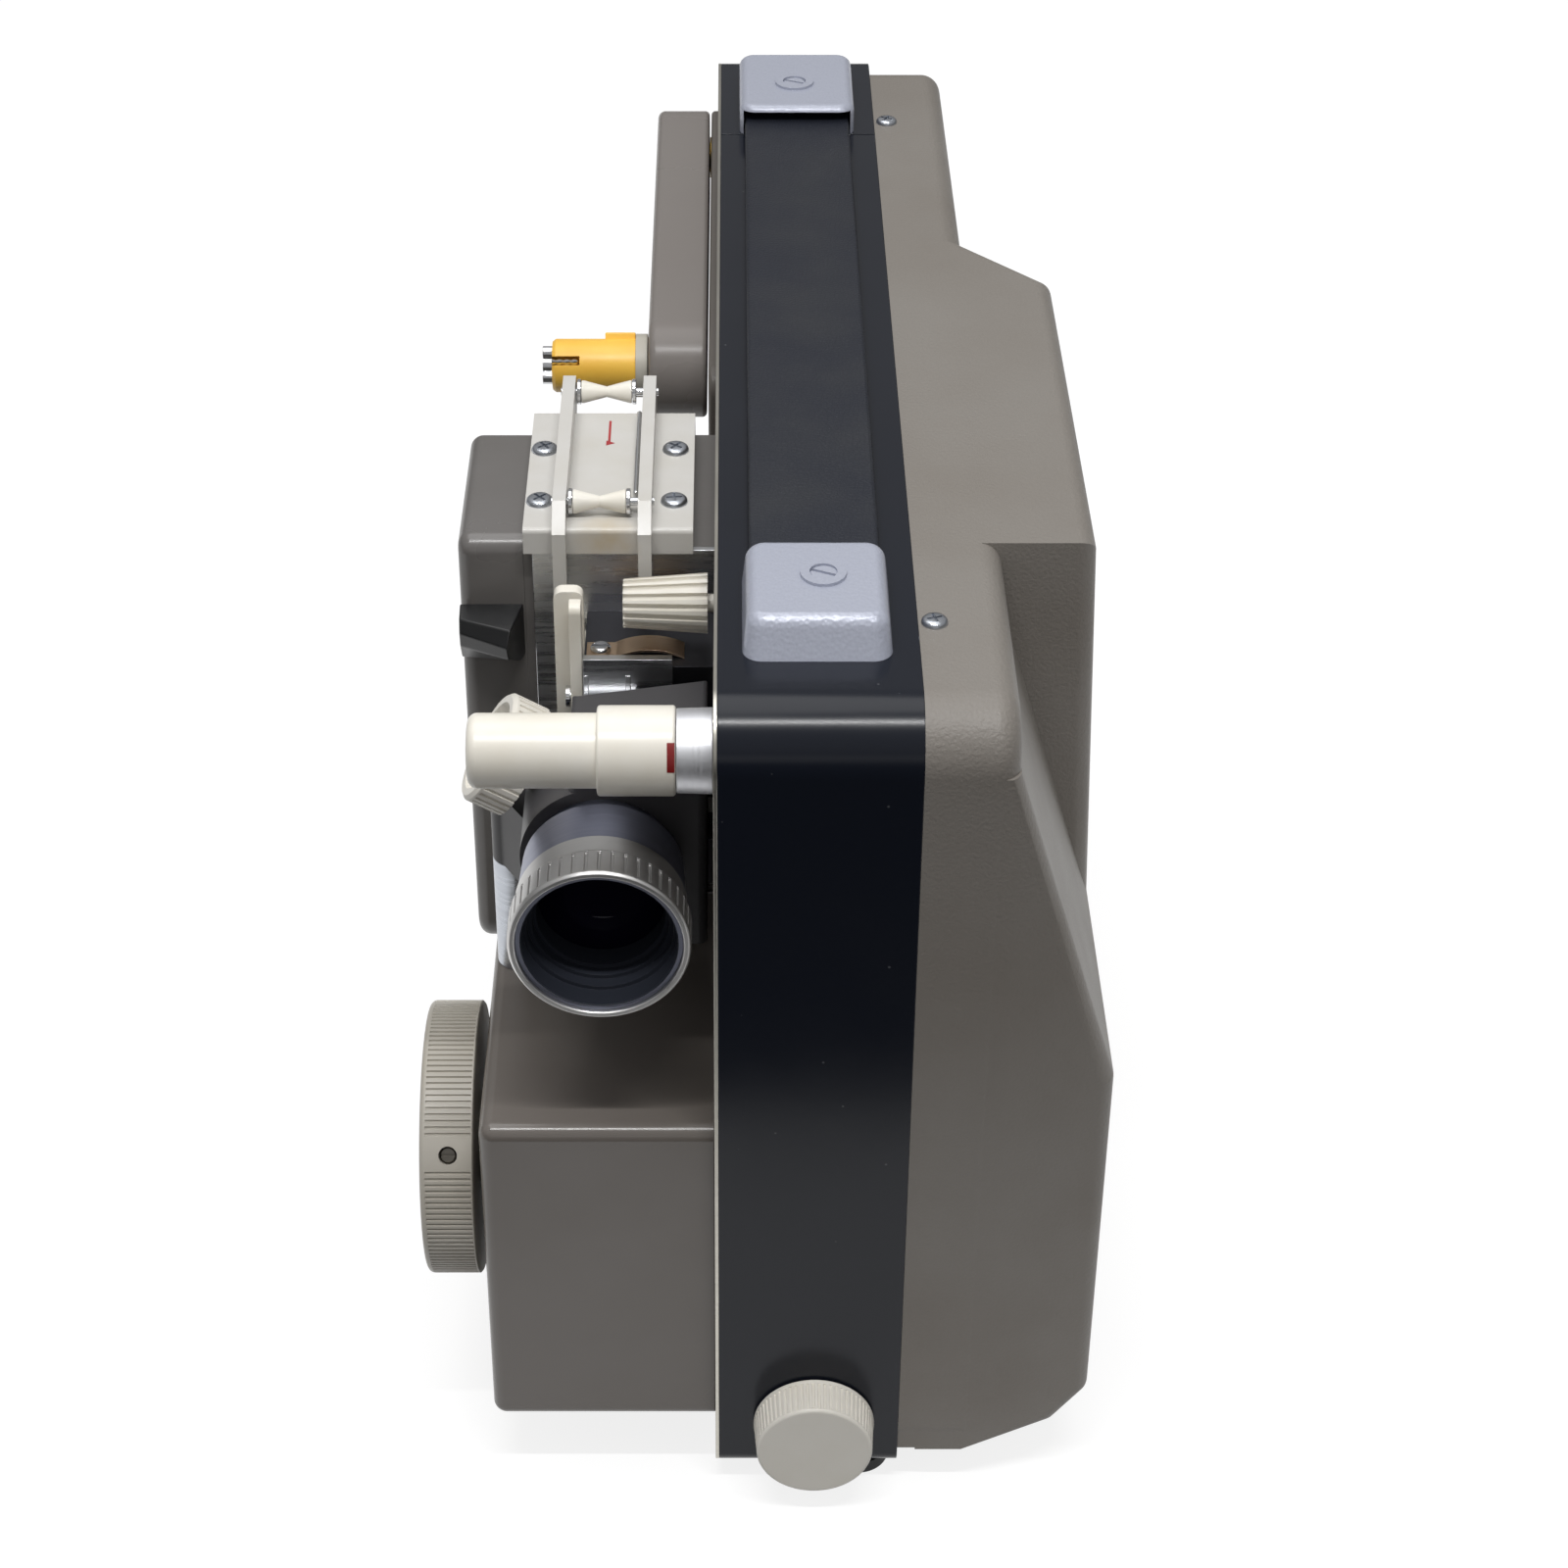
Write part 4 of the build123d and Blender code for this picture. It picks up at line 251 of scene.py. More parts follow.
# %% Moulded plastics
def moulded(name, colour, aged, roughness, grain_mm, depth_mm, drift_mm=45):
    """Moulded plastic: a drifting colour, and the grain of the mould as bump."""
    material, tree, shader, place = start(name, colour, roughness)
    shader.inputs["IOR"].default_value = 1.53
    drift = add(tree, "ShaderNodeTexNoise", {"Vector": place, "Scale": per_metre(drift_mm), "Detail": 4.0})
    share = add(tree, "ShaderNodeMapRange", {0: drift.outputs["Fac"], 1: 0.35, 2: 0.7})
    tint = add(tree, "ShaderNodeMix", {0: share.outputs[0], 6: linear(colour), 7: linear(aged)},
               data_type="RGBA")
    grain = add(tree, "ShaderNodeTexNoise", {"Vector": place, "Scale": per_metre(grain_mm), "Detail": 2.0})
    sheen = add(tree, "ShaderNodeMapRange",
                {0: drift.outputs["Fac"], 1: 0.3, 2: 0.7, 3: roughness - 0.04, 4: roughness + 0.05})
    bump = add(tree, "ShaderNodeBump", {"Height": grain.outputs["Fac"], "Distance": depth_mm * MM})
    tree.links.new(tint.outputs[2], shader.inputs["Base Color"])
    tree.links.new(sheen.outputs[0], shader.inputs["Roughness"])
    tree.links.new(bump.outputs["Normal"], shader.inputs["Normal"])
    return material


# Motor cover: warm grey ABS with a spark-eroded grain that takes the shine off.
grained_abs = moulded("warm_grey_grained_abs", "#847f79", "#7d7770", 0.50, 0.8, 0.16)
# Lower housing: a darker grey, polished in the mould, so it mirrors softly.
glossy_abs = moulded("warm_grey_polished_abs", "#716b66", "#6b655f", 0.24, 2.5, 0.012)
# Lamp frame and lamp cover: enamelled trays, drawn with the same recipe, a little less glossy.
lamp_grey = moulded("dark_grey_enamelled_tray", "#6b6866", "#64615e", 0.30, 1.6, 0.02)
# Control knob, rollers and gate plate: cream urea plastic, a little yellowed, softly shining.
# The stone greys after it are the duller knobs, and the rest are small parts.
cream = moulded("cream_urea_plastic", "#f1ede3", "#eae4d6", 0.32, 1.8, 0.01, drift_mm=14)
stone = moulded("stone_grey_urea_plastic", "#b8b3a9", "#b1ab9f", 0.42, 0.6, 0.02, drift_mm=20)
yellow = moulded("yellow_acetal", "#ffcd55", "#fac24a", 0.38, 0.9, 0.02, drift_mm=8)
black_plastic = moulded("black_phenolic", "#0a0a0c", "#0e0f11", 0.34, 0.9, 0.02, drift_mm=10)
hub_grey = moulded("pale_grey_nylon", "#bdb9ae", "#b4afa3", 0.45, 0.9, 0.02, drift_mm=8)
ceramic = moulded("steatite_ceramic", "#e4dfd2", "#d8d1c1", 0.55, 0.5, 0.02, drift_mm=6)
rubber = moulded("black_moulded_rubber", "#202122", "#29292a", 0.72, 0.6, 0.04, drift_mm=8)
tilt_stone = moulded("cream_stone_urea_plastic", "#e9e5dc", "#e2ddd1", 0.42, 0.6, 0.02, drift_mm=20)
print("plastics:", grained_abs.name, glossy_abs.name, cream.name)

# %% [markdown]
# The film guide is a greyer cream plastic, and use has left a yellow-brown stain on its
# front, in the middle of the film's way. The stain fades with the distance from one place,
# and noise breaks up its edge.

# %% Stained film guide
stained_cream = moulded("cream_urea_plastic_stained", "#cfcdc9", "#c9c6bf", 0.32, 1.8, 0.01, drift_mm=14)
tree = stained_cream.node_tree
shader = tree.nodes["Principled BSDF"]
clean = shader.inputs["Base Color"].links[0].from_socket
place = add(tree, "ShaderNodeTexCoord", {}).outputs["Object"]
spot = add(tree, "ShaderNodeVectorMath", {0: place, 1: at(-23.0, 87.5, 196.5)}, operation="DISTANCE")
patchy = add(tree, "ShaderNodeTexNoise", {"Vector": place, "Scale": per_metre(4), "Detail": 5.0})
near = add(tree, "ShaderNodeMapRange", {0: spot.outputs["Value"], 1: 1.5 * MM, 2: 8.5 * MM, 3: 0.75, 4: 0.0})
share = add(tree, "ShaderNodeMath", {0: near.outputs[0], 1: patchy.outputs["Fac"]}, operation="MULTIPLY")
tint = add(tree, "ShaderNodeMix", {0: share.outputs[0], 6: clean, 7: linear("#bfa05a")}, data_type="RGBA")
tree.links.new(tint.outputs[2], shader.inputs["Base Color"])
print("stain on", stained_cream.name)

# %% [markdown]
# ## Painted metal
# The band round the casing is sheet steel with a black enamel. Sprayed enamel dries with
# a faint orange peel of two or three millimetres, and black shows every speck of dust, so
# a sparse cell pattern adds a few pale points. The cast arm has the same finish in grey.

# %% Painted metals
def enamelled(name, colour, aged, roughness, peel_depth_mm, dust):
    """Sprayed enamel: orange peel as bump, and sparse pale dust."""
    material, tree, shader, place = start(name, colour, roughness)
    shader.inputs["Specular IOR Level"].default_value = 0.28
    drift = add(tree, "ShaderNodeTexNoise", {"Vector": place, "Scale": per_metre(60), "Detail": 5.0})
    tint = add(tree, "ShaderNodeMix", {0: drift.outputs["Fac"], 6: linear(colour), 7: linear(aged)},
               data_type="RGBA")
    cells = add(tree, "ShaderNodeTexVoronoi", {"Vector": place, "Scale": per_metre(8)})
    specks = add(tree, "ShaderNodeMapRange",
                 {0: cells.outputs["Distance"], 1: 0.025, 2: 0.045, 3: dust, 4: 0.0})
    dusty = add(tree, "ShaderNodeMix", {0: specks.outputs[0], 6: tint.outputs[2], 7: linear("#8d8f92")},
                data_type="RGBA")
    peel = add(tree, "ShaderNodeTexNoise", {"Vector": place, "Scale": per_metre(2.4), "Detail": 1.0})
    sheen = add(tree, "ShaderNodeMapRange",
                {0: drift.outputs["Fac"], 1: 0.3, 2: 0.7, 3: roughness - 0.03, 4: roughness + 0.07})
    bump = add(tree, "ShaderNodeBump", {"Height": peel.outputs["Fac"], "Distance": peel_depth_mm * MM})
    tree.links.new(dusty.outputs[2], shader.inputs["Base Color"])
    tree.links.new(sheen.outputs[0], shader.inputs["Roughness"])
    tree.links.new(bump.outputs["Normal"], shader.inputs["Normal"])
    return material


# The band's black enamel is real, but its blue cast is a painted reflection of a bluish room on its top.
black_enamel_blue_reflection = enamelled("black_enamelled_steel", "#191d27", "#151820", 0.17, 0.003, 0.25)
grey_enamel = enamelled("grey_enamelled_casting", "#837e7a", "#7c7672", 0.27, 0.012, 0.1)
plate_enamel = enamelled("brown_grey_enamelled_plate", "#6c6762", "#65605b", 0.34, 0.012, 0.1)
print("enamels:", black_enamel_blue_reflection.name, grey_enamel.name)

# %% [markdown]
# ## Hammered lacquer
# The handle caps are zinc castings under a silver lacquer with a fine hammered look: small
# round dimples of about a millimetre, side by side. Voronoi cells with smooth borders make
# those dimples, and aluminium flake in the lacquer makes it partly metallic.

# %% Silver lacquer of the caps
silver_lacquer, tree, shader, place = start("silver_hammered_lacquer", "#acb0be", 0.34, 0.15)
cells = add(tree, "ShaderNodeTexVoronoi", {"Vector": place, "Scale": per_metre(0.9), "Smoothness": 0.6},
            feature="SMOOTH_F1")
flake = add(tree, "ShaderNodeTexNoise", {"Vector": place, "Scale": per_metre(0.5), "Detail": 3.0})
tint = add(tree, "ShaderNodeMix", {0: flake.outputs["Fac"], 6: linear("#a4a8b6"), 7: linear("#b6bac8")},
           data_type="RGBA")
bump = add(tree, "ShaderNodeBump", {"Height": cells.outputs["Distance"], "Distance": 0.07 * MM})
tree.links.new(tint.outputs[2], shader.inputs["Base Color"])
tree.links.new(bump.outputs["Normal"], shader.inputs["Normal"])
print("lacquer:", silver_lacquer.name)

# %% [markdown]
# ## Bare metals
# Turned parts carry the fine rings of the lathe: the pattern depends only on the place
# along the part's axis, so a noise that reads one coordinate, stretched flat along the
# other two, draws them. Rolled sheet has its lines along one direction in the same way.

# %% Bare metals
def lined_metal(name, colour, roughness, squeeze, line_mm, depth_mm):
    """Bare metal with fine lines; squeeze says how fast the pattern runs along X, Y and Z."""
    material, tree, shader, place = start(name, colour, roughness, 1.0)
    lay = add(tree, "ShaderNodeMapping", {"Vector": place, "Scale": squeeze})
    lines = add(tree, "ShaderNodeTexNoise",
                {"Vector": lay.outputs[0], "Scale": per_metre(line_mm), "Detail": 3.0, "Roughness": 0.65})
    sheen = add(tree, "ShaderNodeMapRange",
                {0: lines.outputs["Fac"], 1: 0.3, 2: 0.7, 3: roughness - 0.06, 4: roughness + 0.08})
    bump = add(tree, "ShaderNodeBump", {"Height": lines.outputs["Fac"], "Distance": depth_mm * MM})
    tree.links.new(sheen.outputs[0], shader.inputs["Roughness"])
    tree.links.new(bump.outputs["Normal"], shader.inputs["Normal"])
    return material


ALONG_X = (1.0, 0.03, 0.03)
ALONG_Y = (0.03, 1.0, 0.03)
ALONG_Z = (0.03, 0.03, 1.0)
lens_metal = lined_metal("satin_anodised_aluminium", "#cac9c8", 0.38, ALONG_Y, 0.5, 0.006)
collar_metal = lined_metal("turned_aluminium", "#ecedf1", 0.48, ALONG_X, 0.4, 0.006)
lip_metal = lined_metal("bare_cast_aluminium", "#c0bdb4", 0.36, ALONG_Z, 0.8, 0.008)
chrome = lined_metal("polished_chromed_steel", "#d5d6d8", 0.12, ALONG_X, 0.8, 0.001)
shield_metal = lined_metal("polished_steel_sheet", "#cfd0d2", 0.27, ALONG_Z, 1.2, 0.002)
steel = lined_metal("ground_steel", "#a9aaab", 0.28, ALONG_Y, 0.5, 0.004)
zinc = lined_metal("zinc_plated_steel", "#b9bdc4", 0.30, ALONG_Z, 0.9, 0.004)
brass = lined_metal("turned_brass", "#c9a65a", 0.30, ALONG_X, 0.4, 0.005)
bronze = lined_metal("rolled_phosphor_bronze", "#cdb398", 0.32, ALONG_Y, 0.4, 0.002)
dark_casting = lined_metal("dark_grey_die_casting", "#55555a", 0.42, ALONG_Z, 1.4, 0.02)
# The barrel's cone is drawn darker and bluer than the pale band of the same aluminium: painted shade.
barrel_painted_shade = lined_metal("aluminium_blue_grey_painted_shade", "#9497a8", 0.40, ALONG_Y, 0.6, 0.004)
dark_steel = lined_metal("oiled_steel", "#77736c", 0.38, ALONG_Y, 0.5, 0.004)
# The lens carrier is a casting too, drawn with the enamel recipe; its charcoal colour is painted shade,
# standing for the shade in the recess behind the lens.
carrier_painted_shade = enamelled("casting_charcoal_painted_shade", "#4b4a4c", "#434244", 0.36, 0.012, 0.1)
print("metals:", lens_metal.name, chrome.name, brass.name)

# %% [markdown]
# ## Vinyl, glass and the materials inside
# The strap is grained vinyl over a steel band: leather grain is a net of creases, which
# Voronoi's distance to the cell border draws. The front lens has a violet coating: dark,
# very smooth, with a tinted coat. Inside, the shutter is blackened steel, the transformer
# takes the colour of its enamelled copper windings and the belt is rubber.

# %% Vinyl
vinyl, tree, shader, place = start("black_grained_vinyl", "#23262e", 0.50)
shader.inputs["Specular IOR Level"].default_value = 0.35
creases = add(tree, "ShaderNodeTexVoronoi", {"Vector": place, "Scale": per_metre(1.0)},
              feature="DISTANCE_TO_EDGE")
pebble = add(tree, "ShaderNodeMapRange", {0: creases.outputs["Distance"], 1: 0.0, 2: 0.22})
rub = add(tree, "ShaderNodeTexNoise", {"Vector": place, "Scale": per_metre(24), "Detail": 6.0})
worn = add(tree, "ShaderNodeMapRange", {0: rub.outputs["Fac"], 1: 0.4, 2: 0.75})
tint = add(tree, "ShaderNodeMix", {0: worn.outputs[0], 6: linear("#22252e"), 7: linear("#2c2e33")},
           data_type="RGBA")
bump = add(tree, "ShaderNodeBump", {"Height": pebble.outputs[0], "Distance": 0.06 * MM})
tree.links.new(tint.outputs[2], shader.inputs["Base Color"])
tree.links.new(bump.outputs["Normal"], shader.inputs["Normal"])

# %% Lens glass, inner black and bulb
coated_glass, tree, shader, place = start("violet_coated_glass", "#0c0a18", 0.05)
shader.inputs["Specular IOR Level"].default_value = 0.12
shader.inputs["Coat Weight"].default_value = 0.12
shader.inputs["Coat Tint"].default_value = linear("#8a7fd6")
smear = add(tree, "ShaderNodeTexNoise", {"Vector": place, "Scale": per_metre(7), "Detail": 3.0})
tint = add(tree, "ShaderNodeMix", {0: smear.outputs["Fac"], 6: linear("#090812"), 7: linear("#110e22")},
           data_type="RGBA")
tree.links.new(tint.outputs[2], shader.inputs["Base Color"])

lens_black, tree, shader, place = start("black_anodised_aluminium", "#2b2e36", 0.42)
shader.inputs["Specular IOR Level"].default_value = 0.15
rings = add(tree, "ShaderNodeTexNoise", {"Vector": place, "Scale": per_metre(0.8), "Detail": 2.0})
bump = add(tree, "ShaderNodeBump", {"Height": rings.outputs["Fac"], "Distance": 0.01 * MM})
tree.links.new(bump.outputs["Normal"], shader.inputs["Normal"])

bulb_glass, tree, shader, place = start("lamp_glass", "#f2f4f5", 0.04)
shader.inputs["IOR"].default_value = 1.5
shader.inputs["Transmission Weight"].default_value = 0.85
haze = add(tree, "ShaderNodeTexNoise", {"Vector": place, "Scale": per_metre(5), "Detail": 2.0})
bump = add(tree, "ShaderNodeBump", {"Height": haze.outputs["Fac"], "Distance": 0.004 * MM})
tree.links.new(bump.outputs["Normal"], shader.inputs["Normal"])

# %% Inner parts and small marks
blackened = lined_metal("blackened_steel", "#2b2c2e", 0.45, ALONG_X, 1.0, 0.004)
copper = lined_metal("enamelled_copper_winding", "#8a4d2c", 0.35, ALONG_Y, 0.8, 0.05)
belt_rubber = moulded("black_belt_rubber", "#1d1d1e", "#242425", 0.65, 0.5, 0.03, drift_mm=5)
red_paint = moulded("red_marking_paint", "#b03236", "#a02a2e", 0.40, 0.5, 0.005, drift_mm=4)
dark_red = moulded("dark_red_inlay", "#8a1b1a", "#781413", 0.35, 0.5, 0.005, drift_mm=4)
print("vinyl, glass, inner parts and marks ready")

# %% [markdown]
# ## Copies of CAD pieces
# A CAD node comes in as loose triangles with flat shading. Where its shape is right, a copy
# becomes the visible piece: its doubled points are merged, edges sharper than a crease angle
# are marked sharp, all faces are smooth, and a weighted-normals modifier keeps flat faces
# flat beside their rounded edges. A small bevel breaks the edges that CAD left sharp, as a
# mould or a file does on the real piece. The CAD node itself is kept, but not shown.

# %% A smooth copy of a CAD node
MERGE_DISTANCE = 0.002 * MM


def skin(node, material, crease=32, bevel_mm=0.0):
    """A finished copy of a CAD node that stands for it and rides on the same body."""
    source = frame["nodes"][node]
    bm = bmesh.new()
    bm.from_mesh(source.data)
    bmesh.ops.remove_doubles(bm, verts=bm.verts, dist=MERGE_DISTANCE)
    flat = math.radians(0.3)
    bmesh.ops.dissolve_limit(bm, angle_limit=flat, verts=bm.verts, edges=bm.edges, delimit={"NORMAL"})
    return finish_piece(bm, node + "_skin", material, source["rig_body"], [node], crease, bevel_mm)


def finish_piece(bm, name, material, body, nodes, crease=32, bevel_mm=0.0):
    """Turns a bmesh in scene coordinates into a piece that rides on a body."""
    for face in bm.faces:
        face.smooth = True
    for edge in bm.edges:
        edge.smooth = edge.is_manifold and edge.calc_face_angle(0) < math.radians(crease)
    mesh = bpy.data.meshes.new(name)
    bm.to_mesh(mesh)
    bm.free()
    mesh.materials.append(material)
    piece = bpy.data.objects.new(name, mesh)
    bpy.context.scene.collection.objects.link(piece)
    if bevel_mm:
        bevel = piece.modifiers.new("edges", "BEVEL")
        bevel.width = bevel_mm * MM
        bevel.segments = 2
        bevel.limit_method = "ANGLE"
        bevel.angle_limit = math.radians(crease)
        bevel.harden_normals = True
    weighted = piece.modifiers.new("normals", "WEIGHTED_NORMAL")
    weighted.keep_sharp = True
    weighted.weight = 80
    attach(piece, body)
    if nodes:
        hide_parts(*nodes)
    return piece


COPIES = {
    "front_band": (black_enamel_blue_reflection, 0.15), "rear_band": (black_enamel_blue_reflection, 0.15),
    "right_cover": (grained_abs, 0.0), "handle_strap": (vinyl, 0.0),
    "front_handle_cap": (silver_lacquer, 0.15), "rear_handle_cap": (silver_lacquer, 0.15),
    "reel_arm": (grey_enamel, 0.0), "arm_post": (brass, 0.1),
    "guide_plate": (stained_cream, 0.25), "guide_pins": (chrome, 0.05),
    "lamp_frame": (lamp_grey, 0.25), "heat_shield": (shield_metal, 0.1),
    "lamp_cover": (lamp_grey, 0.2), "latch_tab": (black_plastic, 0.3),
    "gate_block": (dark_casting, 0.2), "aperture_plate": (shield_metal, 0.08),
    "channel_plate": (cream, 0.2), "gate_lever": (cream, 0.2), "leaf_spring": (bronze, 0.05),
    "gate_screws": (chrome, 0.1), "lens_carrier": (carrier_painted_shade, 0.3),
    "carrier_hinge": (zinc, 0.2), "pressure_plate": (shield_metal, 0.1),
    "focus_knob": (tilt_stone, 0.12), "lower_housing": (glossy_abs, 0.2),
    "control_collar": (collar_metal, 0.25), "control_knob": (cream, 0.1),
    "framing_knob": (tilt_stone, 0.15), "tilt_foot": (rubber, 0.1), "rubber_feet": (rubber, 0.2),
    "power_inlet": (black_plastic, 0.2),
}
pieces = {}
for node, (material, bevel_mm) in COPIES.items():
    pieces[node] = skin(node, material, bevel_mm=bevel_mm)
print("copied", len(pieces), "nodes")

# %% [markdown]
# The front cap of the handle is a pressing with slanted sides: its top is smaller than its
# foot, most of all in front, where the light catches the slope.

# %% Slanted sides of the front cap
SLOPE_REACH = 12 * MM
FRONT_SLOPE = 4.6 * MM
SIDE_SLOPE = 2.0 * MM
low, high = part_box("front_handle_cap")
for vert in pieces["front_handle_cap"].data.vertices:
    rise = min(1.0, max(0.0, (vert.co.z - low[2]) / (high[2] - low[2])))
    from_front = min(1.0, (vert.co.y - low[1]) / SLOPE_REACH)
    across = (vert.co.x - (low[0] + high[0]) / 2) / (high[0] - low[0])
    vert.co.y += FRONT_SLOPE * rise * (1 - from_front)
    vert.co.x -= SIDE_SLOPE * rise * across
print("cap", round((high[1] - low[1]) / MM, 1), "mm long")

# %% [markdown]
# The thumb tab follows the slanted corner of the lamp cover: it stands out less and less
# towards the outside, and its inner side leans outwards. The copy is squeezed to that form.

# %% Slanted thumb tab
low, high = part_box("latch_tab")
TAB_DEPTH, TAB_WIDTH = 11.5 * MM, 14.0 * MM
TAB_FALL = 0.55
TAB_LEAN = 3.2 * MM
for vert in pieces["latch_tab"].data.vertices:
    out = (low[1] + TAB_DEPTH - vert.co.y) / TAB_DEPTH
    if out > 0.01:
        across = (vert.co.x - low[0]) / TAB_WIDTH
        vert.co.y = low[1] + TAB_DEPTH * (1 - out * (1 - TAB_FALL * (1 - across)))
        vert.co.x = vert.co.x - TAB_LEAN * out * across
print("tab stands out", round(TAB_DEPTH / MM, 1), "mm at its inner end")

# %% [markdown]
# Some copies need two finishes. The main plate is painted on its face, but its machined rim
# is bare and shows as a thin bright line beside the black band. The spindle shafts are
# steel with a nylon collar pressed on. A test on each face's middle picks the second finish.

# %% Copies with two finishes
def second_finish(piece, material, test):
    """Gives the faces whose normal and middle pass the test a second material."""
    piece.data.materials.append(material)
    chosen = [face for face in piece.data.polygons if test(face.normal, face.center)]
    for face in chosen:
        face.material_index = 1
    print(piece.name, "has", len(chosen), "faces in", material.name)


plate = skin("main_plate", plate_enamel, bevel_mm=0.1)
second_finish(plate, lip_metal, lambda normal, middle: abs(normal.x) < 0.5 and middle.x > at(-0.2, 0, 0).x)
for shaft, hub in (("supply_shaft", "supply_hub"), ("takeup_shaft", "takeup_hub")):
    collar_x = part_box(hub)[1][0] - 0.1 * MM
    collar_end = collar_x + 14 * MM
    piece = skin(shaft, chrome, bevel_mm=0.12)
    second_finish(piece, hub_grey,
                  lambda normal, middle, low=collar_x, high=collar_end: low < middle.x < high)

# %% [markdown]
# ## Turned pieces
# Knobs, rollers, rings and screws are round, so each is drawn as half an outline, in
# millimetres as (radius, height), and spun about Z. A frame then stands the piece where it
# belongs: its Z runs along the real axis, and its X points to a chosen mark, such as a slot.

# %% Spin an outline and stand it in place
def turned(outline, steps, closed=True):
    """A solid of revolution in millimetres, from (radius, height) points."""
    bm = bmesh.new()
    points = [bm.verts.new((radius, 0, height)) for radius, height in outline]
    pairs = zip(points, points[1:] + points[:1]) if closed else zip(points, points[1:])
    rim = [bm.edges.new(pair) for pair in pairs]
    bmesh.ops.spin(bm, geom=points + rim, cent=(0, 0, 0), axis=(0, 0, 1), angle=math.tau,
                   steps=steps, use_merge=True)
    bmesh.ops.remove_doubles(bm, verts=bm.verts, dist=1e-4)
    bmesh.ops.recalc_face_normals(bm, faces=bm.faces)
    return bm


def stand(place, axis, mark):
    """The frame at a place whose Z runs along axis and whose X points to mark."""
    z, x = Vector(axis).normalized(), Vector(mark).normalized()
    turn = Matrix((x, z.cross(x), z)).transposed().to_4x4()
    return Matrix.Translation(place) @ turn @ Matrix.Scale(MM, 4)


def put(bm, frames, name, material, body, nodes=(), crease=32, bevel_mm=0.0):
    """Stands a bmesh in one or more frames and finishes it as one piece."""
    original = bm.verts[:] + bm.edges[:] + bm.faces[:]
    for matrix in frames[1:]:
        twin = bmesh.ops.duplicate(bm, geom=original)["geom"]
        verts = [item for item in twin if isinstance(item, bmesh.types.BMVert)]
        bmesh.ops.transform(bm, matrix=matrix, verts=verts)
    verts = [item for item in original if isinstance(item, bmesh.types.BMVert)]
    bmesh.ops.transform(bm, matrix=frames[0], verts=verts)
    return finish_piece(bm, name, material, body, nodes, crease, bevel_mm)


def arc(middle, radius, start_deg, end_deg, count):
    """Points of an outline along an arc, round a middle given as (radius, height)."""
    angles = [math.radians(start_deg + (end_deg - start_deg) * i / count) for i in range(count + 1)]
    return [(middle[0] + radius * math.cos(a), middle[1] + radius * math.sin(a)) for a in angles]


print("helpers ready: turned, stand, put, arc")

# %% [markdown]
# Ribs on a knob's rim come from its own faces. The spin makes a ring of faces round the
# rim; every second one is extruded and pushed inward as a groove, a little narrower at its
# bottom, as a moulding tool would leave it. A pocket, such as a screw's slot, is cut with
# planes along its walls, and the faces between the walls are extruded down.

# %% Grooves and pockets
def grooves(bm, low, high, depth, pinch, keep=lambda angle: True, every=2):
    """Pushes in every second face of the ring between two heights."""
    ring = [face for face in bm.faces if low < face.calc_center_median().z < high
            and abs(face.normal.z) < 0.3 and face.normal.dot(face.calc_center_median()) > 0]
    ring.sort(key=lambda face: math.atan2(face.calc_center_median().y, face.calc_center_median().x))
    chosen = [face for index, face in enumerate(ring)
              if index % every == 0 and keep(math.degrees(math.atan2(*face.calc_center_median().yx)))]
    sunk = bmesh.ops.extrude_discrete_faces(bm, faces=chosen)["faces"]
    for face in sunk:
        middle = face.calc_center_median()
        side = Vector((-middle.y, middle.x, 0)).normalized()
        inward = face.normal * -depth
        for vert in face.verts:
            vert.co += inward - side * side.dot(vert.co - middle) * pinch
    return len(sunk)


def pocket(bm, centre, normal, shapes, depth):
    """Sinks a pocket; each shape is a list of walls, and a wall is a direction and a distance."""
    centre, normal = Vector(centre), Vector(normal)

    def facing():
        return [face for face in bm.faces if face.normal.dot(normal) > 0.5
                and (face.calc_center_median() - centre).length < 6]

    for direction, distance in [wall for shape in shapes for wall in shape]:
        near = facing()
        edges = list({edge for face in near for edge in face.edges})
        verts = list({vert for face in near for vert in face.verts})
        bmesh.ops.bisect_plane(bm, geom=near + edges + verts, dist=1e-5,
                               plane_co=centre + Vector(direction) * distance, plane_no=direction)
    inside = [face for face in facing() if any(
        all((face.calc_center_median() - centre).dot(Vector(direction)) < distance
            for direction, distance in shape) for shape in shapes)]
    sunk = bmesh.ops.extrude_face_region(bm, geom=inside)["geom"]
    bmesh.ops.delete(bm, geom=inside, context="FACES")
    verts = [item for item in sunk if isinstance(item, bmesh.types.BMVert)]
    bmesh.ops.translate(bm, verts=verts, vec=normal * -depth)
    bmesh.ops.recalc_face_normals(bm, faces=bm.faces)


def slit(length, width):
    """The four walls of a straight slot along X."""
    ends = [((1, 0, 0), length / 2), ((-1, 0, 0), length / 2)]
    return ends + [((0, 1, 0), width / 2), ((0, -1, 0), width / 2)]


print("helpers ready: grooves, pocket, slit")

# %% [markdown]
# ## Screws
# The cover and the film guide are held by domed cross-head screws of M3 size, zinc plated.
# The handle caps have flat slotted screws in the lacquer of the caps, turned as in the
# picture.

# %% Screws
SHANK_RADIUS = 1.5
CROSS_WIDTH, CROSS_DEPTH = 0.62, 0.6


def domed_head(radius, height, shank, length):
    """The outline of a domed screw with its shank, its seat at height 0."""
    crown = [(radius * 0.55, height), (radius * 0.8, height * 0.86), (radius * 0.94, height * 0.55)]
    return [(0, height)] + crown + [(radius, 0.12), (radius, 0), (shank, 0), (shank, -length), (0, -length)]


